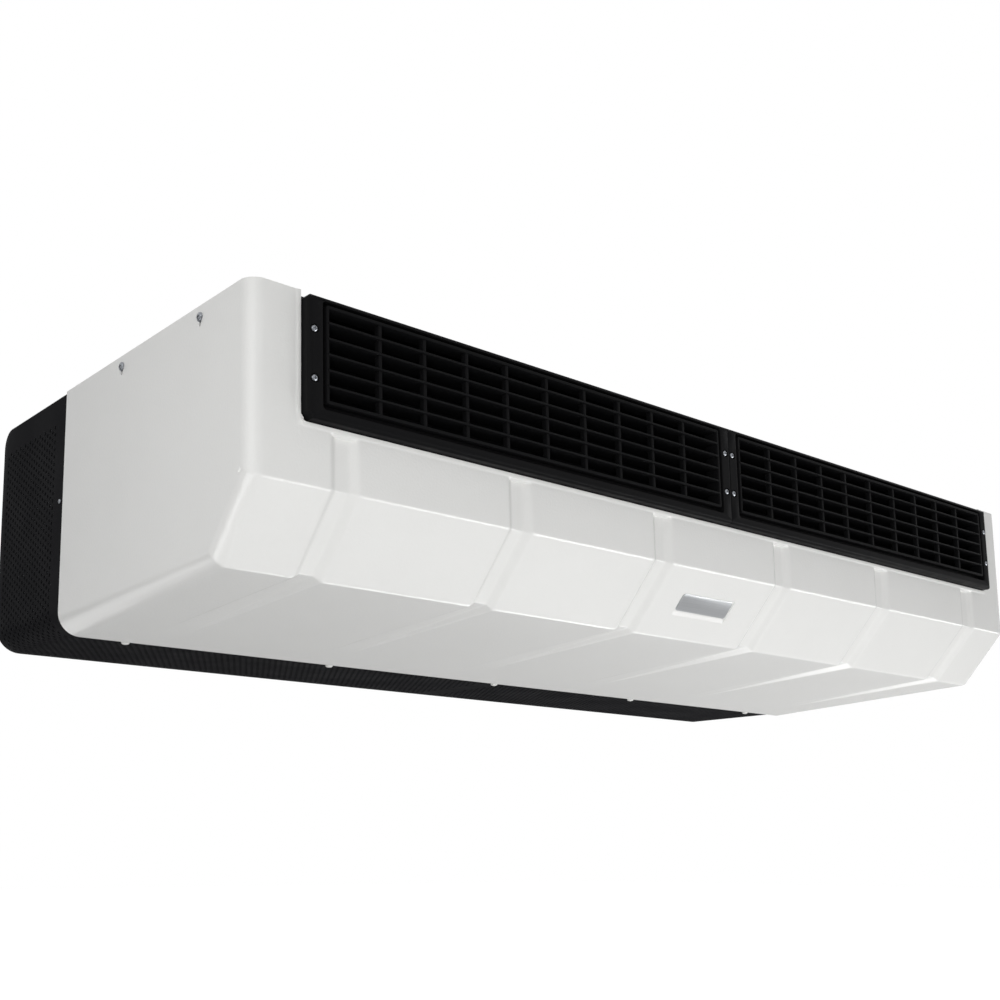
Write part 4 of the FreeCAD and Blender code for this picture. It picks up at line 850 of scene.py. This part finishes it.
def guardMargins(s, length):
    # everything of the flat sheet that has no holes, as a section along Y swept along X
    half = s["rowPitch"] / 2
    fieldEnd = s["topMargin"] + s["rows"] * s["rowPitch"]
    fieldRows = [s["topMargin"] + half * k for k in range(2 * s["rows"] + 1)]
    alongs = list(s["topRows"]) + fieldRows + [(fieldEnd + length) / 2, length]
    firstRow = alongs.index(fieldRows[0])
    lastRow = firstRow + 2 * s["rows"]
    step = s["columnPitch"] / 2
    lattice = [s["front"] + s["frontMargin"] + step * k for k in range(2 * s["columns"] + 1)]
    depths = [s["front"]] + lattice + [s["rear"] - s["sheet"]]
    count = len(depths)
    points, faces = [], []
    leastFold = s["sheet"] + s["leastFold"]

    def limit(along):
        low = s["rearRound"] - min(along, s["rearRound"])
        return s["rear"] - s["rearRound"] + math.sqrt(s["rearRound"] ** 2 - low ** 2)

    for along in alongs:
        pull = (limit(along) - s["front"]) / (s["rear"] - s["front"])
        share = max(0, min(1, (along - s["rearRound"]) / s["flange"]))
        fold = leastFold + (s["flange"] - leastFold) * share
        rear, cut = s["rear"], s["edgeBreak"]
        rim = [(depths[-1], 0), (rear - cut, -cut), (rear, -s["sheet"]), (rear, -fold),
               (rear - s["sheet"], -fold)]
        ring = [(y, 0) for y in depths[:-1]] + rim + [(y, -s["sheet"]) for y in depths[::-1]]
        section = len(ring)
        points += [(along, s["front"] + (y - s["front"]) * pull, n) for y, n in ring]

    inner = section - 1
    for i in range(len(alongs) - 1):
        inField = firstRow <= i < lastRow
        endRow = i in (firstRow, lastRow - 1)
        for k in range(section):
            n = (k + 1) % section
            outerStrip = 1 <= k <= 2 * s["columns"]
            mirror = inner - k - 1
            innerStrip = 1 <= mirror <= 2 * s["columns"]
            column = ((k if outerStrip else mirror) - 1) // 2
            if inField and (outerStrip or innerStrip) and not (endRow and column % 2 == 1):
                continue
            a, b = i * section, (i + 1) * section
            faces.append((a + k, b + k, b + n, a + n))
    for base in (0, (len(alongs) - 1) * section):
        for k in range(count - 1):
            faces.append((base + k, base + k + 1, base + inner - k - 1, base + inner - k))
        faces.append(tuple(base + k for k in range(count - 1, section - count + 1)))
    # the top flange that is folded in under the ceiling
    low = len(points)
    for along in (0, s["sheet"]):
        for y in (s["front"], s["rear"] - s["rearRound"]):
            for n in (-s["sheet"], -s["flange"]):
                points.append((along, y, n))
    box = ((0, 1, 3, 2), (4, 5, 7, 6), (0, 1, 5, 4), (2, 3, 7, 6), (0, 2, 6, 4), (1, 3, 7, 5))
    faces += [tuple(low + k for k in face) for face in box]
    return usedOnly(points, faces)


def buildGuard(s):
    path, length = guardPath(s)
    points, faces = guardMargins(s, length)
    owner = helperMesh("leftReturnGuard", points, faces)
    spots = []
    for column in range(s["columns"]):
        y = s["front"] + s["frontMargin"] + (column + 0.5) * s["columnPitch"]
        shift = 0.5 if column % 2 else 0.0
        for row in range(s["rows"] - column % 2):
            spots.append((s["topMargin"] + (row + 0.5 + shift) * s["rowPitch"], y, 0))
    repeatOn(owner, [(holeCell(s), spotsFor("holeSpots", spots))], guardBlack, path, weld=1e-5)
    tidyMesh(owner.data, 40)
    return owner


leftGuard = buildGuard(guardSizes)
rightGuard = mirroredPiece(leftGuard, "rightReturnGuard")
for piece in (leftGuard, rightGuard):
    shadeMesh(piece.data, 40)
    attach(piece, "housing")
    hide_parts("return_air_guard")
    print(piece.name, sum(len(p.vertices) - 2 for p in piece.data.polygons), "triangles")


grilleSizes = {
    "start": 0.15,
    "length": 558.3,
    "top": -5.2,
    "low": -117.5,
    "front": -292.4,
    "back": -275.1,
    "clips": (5.5, 3.0),
    "squareCorners": (0.8, 0.8),
    "lean": 4.5,
    "edge": 4.0,
    "flange": 18.5,
    "fullLength": 557.3,
    "ringTop": 8.4,
    "ringBottom": 17.1,
    "ring": 3.0,
    "gap": 3.6,
    "gapHigh": 3.1,
    "gapLow": 6.0,
    "gapDepth": 9.0,
    "gapBreak": ((0.5, 0.0), (0.1, 0.2), (0.0, 0.7)),
    "ringBreak": ((0.7, 0.0), (0.2, 0.2), (0.0, 0.7)),
    "edgeSteps": 5,
    "blades": 5,
    "bladeThickness": 2.2,
    "bladeChord": 24.0,
    "bladeLead": 0.8,
    "cells": 10,
    "barWidth": 3.8,
    "barDepth": 6.0,
    "barBack": 1.2,
    "barEdge": 0.6,
    "endExtra": 6.2,
    "middleExtra": 2.2,
    "screwInset": 6.2,
    "screwSpacing": 44.8,
    "screwMiddle": -59.3,
    "seatRadius": 4.3,
    "seatDepth": 1.6,
    "seatPoints": 24,
}


def frameLoop(box, corners, y, steps=5):
    # loop round a rectangle; each corner is cut by a clip or turned by a radius
    xLow, xHigh, zLow, zHigh = box
    loop = []
    turns = ((xLow, zLow, 1, 1), (xHigh, zLow, -1, 1), (xHigh, zHigh, -1, -1), (xLow, zHigh, 1, -1))
    for k, (cx, cz, dx, dz) in enumerate(turns):
        kind, size = corners[k]
        for j in range(steps + 1):
            t = j / steps
            if kind == "clip":
                a, b = size * t, size * (1 - t)
            else:
                a, b = size * (1 - math.cos(math.pi / 2 * t)), size * (1 - math.sin(math.pi / 2 * t))
            # a runs from the first side of the corner to the second, going round counter-clockwise
            if k % 2 == 0:
                loop.append((cx + dx * a, y, cz + dz * b))
            else:
                loop.append((cx + dx * b, y, cz + dz * a))
    return loop


def ringBox(s):
    # middle line of the ring round the opening: its two ends, its foot and its top
    return s["flange"], s["fullLength"] - s["flange"], s["low"] + s["ringBottom"], s["top"] - s["ringTop"]


def grilleFrame(s, clips):
    def outer(inset, y):
        low, high = [max(0.4, clip - inset * (2 - math.sqrt(2))) for clip in clips]
        box = (s["start"] + inset * 0.12, s["length"] - inset, s["low"] + inset, s["top"] - inset)
        return frameLoop(box, [("round", 0.3), ("clip", low), ("clip", high), ("round", 0.3)], y)

    ringLeft, ringRight, ringLow, ringHigh = ringBox(s)
    front, back, half = s["front"], s["back"], s["ring"] / 2

    def gapEdge(grow, y):
        side = half + s["gap"] + grow
        box = (ringLeft - side, ringRight + side, ringLow - half - s["gapLow"] - grow,
               ringHigh + half + s["gapHigh"] + grow)
        return frameLoop(box, [("round", s["gap"] + grow)] * 4, y)

    def ring(grow, y):
        box = (ringLeft - grow, ringRight + grow, ringLow - grow, ringHigh + grow)
        return frameLoop(box, [("round", max(0.2, grow + 0.6))] * 4, y)

    loops = [outer(0, back), outer(0, front + s["edge"])]
    for k in range(1, s["edgeSteps"] + 1):
        angle = math.pi / 2 * k / s["edgeSteps"]
        loops.append(outer(s["edge"] * (1 - math.cos(angle)), front + s["edge"] * (1 - math.sin(angle))))
    # the edges beside the sunk gap are broken in steps, each so far out and so deep
    loops += [gapEdge(out, front + deep) for out, deep in s["gapBreak"]] + [gapEdge(0, front + s["gapDepth"])]
    loops += [ring(half, front + s["gapDepth"])]
    loops += [ring(half - cut, front + deep) for cut, deep in s["ringBreak"][::-1]]
    loops += [ring(cut - half, front + deep) for cut, deep in s["ringBreak"]] + [ring(-half, back)]
    return loftLoops(loops)


def slatPiece(s, span):
    # one level blade with a rounded nose, its length along X
    r, chord = s["bladeThickness"] / 2, s["bladeChord"]
    angles = [math.pi / 2 - math.pi / 6 * k for k in range(7)]
    section = [(r - r * math.cos(t), r * math.sin(t)) for t in angles]
    section += [(chord, -r), (chord, r)]
    loops = [[(x, y, z) for y, z in section] for x in (0, span)]
    return helperMesh("slatPiece", *loftLoops(loops, False))


def barPiece(s, height):
    # one short upright bar with broken front edges, its length along Z
    w, d, e = s["barWidth"] / 2, s["barDepth"], s["barEdge"]
    rightHalf = [(w - e, 0), (w - e * 0.3, e * 0.3), (w, e), (w, d)]
    section = [(-x, y) for x, y in rightHalf[::-1]] + rightHalf
    loops = [[(x, y, z) for x, y in section] for z in (0, height)]
    return helperMesh("barPiece", *loftLoops(loops, False))


def leanOut(mesh, s):
    # the grille leans like the band: its foot stands further out than its top
    middle = (s["top"] + s["low"]) / 2
    for vertex in mesh.vertices:
        vertex.co.y += s["lean"] * (vertex.co.z - middle * mm) / (s["top"] - s["low"])


def buildGrille(s, name, clips):
    owner = helperMesh(name, *grilleFrame(s, clips))
    tidyMesh(owner.data, 38)
    cutBars(owner, seatBars(s), grilleBlack)
    ringLeft, ringRight, ringLow, ringHigh = ringBox(s)
    rowPitch = (ringHigh - ringLow) / (s["blades"] + 1)
    lead = s["front"] - s["bladeLead"]
    slats = [(ringLeft, lead, ringLow + rowPitch * k) for k in range(1, s["blades"] + 1)]
    span = ringRight - ringLeft
    cell = (span - 2 * s["endExtra"] - 2 * s["middleExtra"]) / s["cells"]
    widths = [cell] * s["cells"]
    for k in (0, -1):
        widths[k] += s["endExtra"]
    for k in (s["cells"] // 2 - 1, s["cells"] // 2):
        widths[k] += s["middleExtra"]
    bars = [(ringLeft + sum(widths[:k]), s["front"] + s["barBack"], ringLow) for k in range(1, s["cells"])]
    jobs = [(slatPiece(s, span), spotsFor("slatSpots", slats)),
            (barPiece(s, ringHigh - ringLow), spotsFor("barSpots", bars))]
    repeatOn(owner, jobs, grilleBlack)
    tidyMesh(owner.data, 38)
    leanOut(owner.data, s)
    return owner


def seatBars(s):
    # round counterbores under the screw heads, sunk into the flange at both ends
    circle = circlePoints(s["seatRadius"], s["seatPoints"])
    ends = (s["front"] - 1.0, s["front"] + s["seatDepth"])
    return [[[(x + across, end, z + up) for across, up in circle] for end in ends]
            for x, _, z in screwPlaces(s)]


def screwPlaces(s):
    # seats of one grille's four screws, before it leans
    return [(x, s["front"] + s["seatDepth"], s["screwMiddle"] + up * s["screwSpacing"] / 2)
            for x in (s["screwInset"], s["length"] - s["screwInset"]) for up in (-1, 1)]


rightGrille = buildGrille(grilleSizes, "rightDischargeGrille", grilleSizes["squareCorners"])
clippedGrille = buildGrille(grilleSizes, "clippedGrille", grilleSizes["clips"])
leftGrille = mirroredPiece(clippedGrille, "leftDischargeGrille")
dropHelpers([clippedGrille])
for piece, node in ((rightGrille, "right_discharge_grille"), (leftGrille, "left_discharge_grille")):
    shadeMesh(piece.data, 38)
    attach(piece, "housing")
    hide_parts(node)
print("grilles:", len(rightGrille.data.polygons), "faces each")


screwSizes = {
    "radius": 4.2,
    "height": 2.6,
    "dome": ((0.0, 0.0), (0.55, 0.0), (1.3, 0.03), (2.1, 0.12), (2.35, 0.18), (3.2, 0.55), (3.8, 1.0),
             (4.2, 1.7)),
    "arm": 2.1,
    "armHalf": 0.42,
    "armWall": 4,
    "recess": 1.1,
    "shank": 2.0,
    "shankLength": 6.0,
    "sideDepths": (86.5, 246.2),
    "sideDrop": 11.2,
    "sideSink": 0.3,
    "sideSize": 1.1,
    "grilleSize": 0.76,
    "bottomPitch": 263.4,
    "bottomY": 118.0,
    "bottomSize": 1.1,
    "guardDrop": 118.0,
    "guardInset": 7.0,
    "guardSize": 0.6,
}


def screwHead(s, name, size=1.0):
    # pan head with a cross recess, its seat at the origin and its top along Z
    rings = [(r, s["height"] - below) for r, below in s["dome"]]
    rings += [(s["radius"], 0.0), (s["shank"], 0.0), (s["shank"], -s["shankLength"])]
    points, faces = [], []
    for r, z in rings[1:]:
        arm = math.asin(min(0.7, s["armHalf"] / r))
        wall = arm + math.radians(s["armWall"])
        offsets = ((-wall, 0), (-arm, 1), (0, 1), (arm, 1), (wall, 0), (math.pi / 4, 0))
        for k in range(4):
            for offset, low in offsets:
                angle = math.pi / 2 * k + offset
                drop = s["recess"] if low and r <= s["arm"] else 0.0
                points.append((r * math.cos(angle) * size, r * math.sin(angle) * size, (z - drop) * size))
    around, last = 4 * len(offsets), len(rings) - 2
    for i in range(last):
        faces += ringFaces(i * around, (i + 1) * around, around)
    points.append((0, 0, (s["height"] - s["recess"]) * size))
    faces += [(len(points) - 1, (k + 1) % around, k) for k in range(around)]
    faces.append(tuple(last * around + k for k in range(around)))
    return helperMesh(name, points, faces)


def buildScrews(s, name, places, ways, finish, replaced, size=1.0):
    owner = helperMesh(name, [], [])
    repeatOn(owner, [(screwHead(s, name + "Head", size), spotsFor(name + "Spots", places, ways))], finish)
    tidyMesh(owner.data, 40)
    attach(owner, "housing")
    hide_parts(replaced)
    return owner


def placeScrews(s):
    g, z = grilleSizes, -s["sideDrop"]
    middle = (g["top"] + g["low"]) / 2
    heads = [(side * x, y + g["lean"] * (up - middle) / (g["top"] - g["low"]), up)
             for side in (-1, 1) for x, y, up in screwPlaces(g)]
    front = [(0, -1, 0)] * len(heads)
    buildScrews(s, "grilleScrews", heads, front, screwZinc, "grille_screws", s["grilleSize"])
    ways = [(-1, 0, 0), (-1, 0, 0), (1, 0, 0), (1, 0, 0)]
    half = shellSizes["halfLength"] - s["sideSink"]
    sides = [(side * half, shellSizes["frontY"] + depth, z) for side in (-1, 1) for depth in s["sideDepths"]]
    buildScrews(s, "shellSideScrews", sides, ways, screwZinc, "shell_side_screws", s["sideSize"])
    bottom = [((k - 2) * s["bottomPitch"], s["bottomY"], -guardSizes["bottom"]) for k in range(5)]
    buildScrews(s, "bottomScrews", bottom, [(0, 0, -1)] * 5, screwWhite, "bottom_screws", s["bottomSize"])
    guardY = guardSizes["front"] + s["guardInset"]
    guard = [(side * guardSizes["half"], guardY, -s["guardDrop"]) for side in (-1, 1)]
    buildScrews(s, "guardScrews", guard, ways[1:3], screwZinc, "guard_screws", s["guardSize"])


placeScrews(screwSizes)
print("screws placed")


badgeSizes = {"length": 84.0, "height": 22.0, "thickness": 1.0, "recess": 1.4, "corner": 3.5, "bevel": 0.25,
              "shift": -4.3, "rise": 1.7}


def buildBadge(s):
    # bare plate in the facet's recess; its own plane is worked out flat, then turned to the facet
    d, b = s["thickness"], s["bevel"]
    half = (s["length"] / 2, s["height"] / 2)

    def plate(inset, lift):
        box = (-half[0] + inset, half[0] - inset, -half[1] + inset, half[1] - inset)
        return frameLoop(box, [("round", s["corner"])] * 4, lift)

    points, faces = loftLoops([plate(0, 0), plate(0, d - b), plate(b * 0.3, d - b * 0.3), plate(b, d)], False)
    _, upper, lower, _, ways = shellProfile(shellSizes, 0, 0, 0)
    middle = ((upper[0] + lower[0]) / 2, (upper[1] + lower[1]) / 2)
    down = ways[1]
    inward = (-down[1], down[0])
    turned = []
    for x, lift, up in points:
        depth = s["recess"] - lift
        up += s["rise"]
        turned.append((x + s["shift"], middle[0] + inward[0] * depth - down[0] * up,
                       middle[1] + inward[1] * depth - down[1] * up))
    badge = meshPiece("badgePlate", turned, faces, plateAluminium, 40)
    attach(badge, "housing")
    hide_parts("badge_plate")


buildBadge(badgeSizes)
print("badge placed")


studio = {
    "floorDrop": 1.25,
    "floorHalf": 30.0,
    "floorGlow": 0.8,
    "worldStrength": 0.347,
}
middleAim = (0, 0, -0.13)
# power in watts, place, size and aim of the lamps that light the body colours
lamps = {
    "keyLamp": (24.3, (-1.9, -2.0, -0.7), (1.4, 1.0), middleAim),
    "lowLamp": (9.4, (0.4, -0.7, -1.15), (1.6, 0.8), middleAim),
    "underLamp": (7.0, (0.9, 0.3, -1.2), (1.6, 0.8), middleAim),
    "endLamp": (0.16, (-0.95, -0.26, -0.1), (0.3, 0.3), (-0.6, -0.2, -0.12)),
}
# the same of the strips that only the gloss shows, with the way that the long side lies
glints = {
    "upperGlint": (28.0, (1.5, -1.88, -0.78), (3.2, 0.45), (0, -0.28, -0.17), (2.17, 0.846, 0.32)),
    "leftUpperGlint": (17.0, (1.1, -1.88, -1.15), (1.6, 0.4), (-0.4, -0.28, -0.17), (1, 0, 0)),
    "lowerGlint": (2.5, (1.13, 0.19, -1.17), (2.7, 0.4), (0.3, -0.22, -0.24), (1, 0, 0)),
    "nearGlint": (8.0, (0.15, 0.19, -1.17), (1.3, 0.4), (-0.4, -0.22, -0.24), (1, 0, 0)),
    "cornerGlint": (9.0, (-2.24, -1.2, 0.57), (1.8, 1.6), (-0.6, -0.27, -0.1), (0.75, -0.65, 0)),
    "slantGlint": (7.0, (-1.87, -0.43, -1.1), (1.0, 0.8), (-0.6, -0.25, -0.2), (0, 1, 0)),
    "footGlint": (4.0, (-0.96, 1.73, -1.0), (1.4, 0.6), (-0.6, 0.0, -0.25), (1, 0, 0)),
}


def buildFloor(s):
    # pale floor far below, which looks white to the camera and keeps the shadow
    half, low = s["floorHalf"], -s["floorDrop"]
    mesh = bpy.data.meshes.new("studioFloor")
    corners = [(-half, -half, low), (half, -half, low), (half, half, low), (-half, half, low)]
    mesh.from_pydata(corners, [], [(0, 1, 2, 3)])
    floor = addObject("studioFloor", mesh)
    material, tree, shader, _ = newMaterial("paintedStudioFloor", "#F4F4F4", 0.9)
    shader.inputs["Specular IOR Level"].default_value = 0.0
    rays = addNode(tree, "ShaderNodeLightPath")
    glow = addNode(tree, "ShaderNodeMath", {"operation": "MULTIPLY", 1: s["floorGlow"]},
                   {0: rays.outputs["Is Camera Ray"]})
    shader.inputs["Emission Color"].default_value = (1, 1, 1, 1)
    tree.links.new(glow.outputs[0], shader.inputs["Emission Strength"])
    setMaterial(floor, material)


def buildWorld(s):
    # soft white light; the camera, the gloss and clear things see a plain white backdrop
    world = bpy.data.worlds.new("studioWorld")
    bpy.context.scene.world = world
    world.use_nodes = True
    tree = world.node_tree
    tree.nodes.clear()
    rays = addNode(tree, "ShaderNodeLightPath")
    seen = rays.outputs["Is Camera Ray"]
    for kind in ("Is Glossy Ray", "Is Transmission Ray"):
        either = addNode(tree, "ShaderNodeMath", {"operation": "MAXIMUM"}, {0: seen, 1: rays.outputs[kind]})
        seen = either.outputs[0]
    white = (1, 1, 1, 1)
    ambient = addNode(tree, "ShaderNodeBackground", {"Color": white, "Strength": s["worldStrength"]})
    backdrop = addNode(tree, "ShaderNodeBackground", {"Color": white, "Strength": 1.0})
    mix = addNode(tree, "ShaderNodeMixShader", None, {0: seen, 1: ambient.outputs[0], 2: backdrop.outputs[0]})
    addNode(tree, "ShaderNodeOutputWorld", None, {"Surface": mix.outputs[0]})


def buildLamp(name, glossOnly, power, place, size, aim, along=None):
    lamp = bpy.data.lights.new(name, "AREA")
    lamp.shape = "RECTANGLE"
    lamp.size, lamp.size_y = size
    lamp.energy = power
    holder = addObject(name, lamp)
    back = (Vector(place) - Vector(aim)).normalized()
    along = Vector(along) if along else Vector((0, 0, 1)).cross(back)
    across = back.cross(along).normalized()
    turn = Matrix((across.cross(back), across, back)).transposed().to_4x4()
    holder.matrix_world = Matrix.Translation(place) @ turn
    holder.visible_diffuse = not glossOnly
    holder.visible_glossy = glossOnly


buildFloor(studio)
buildWorld(studio)
for name, setup in lamps.items():
    buildLamp(name, False, *setup)
for name, setup in glints.items():
    buildLamp(name, True, *setup)
bpy.context.scene.view_settings.view_transform = "Standard"
print("studio set")
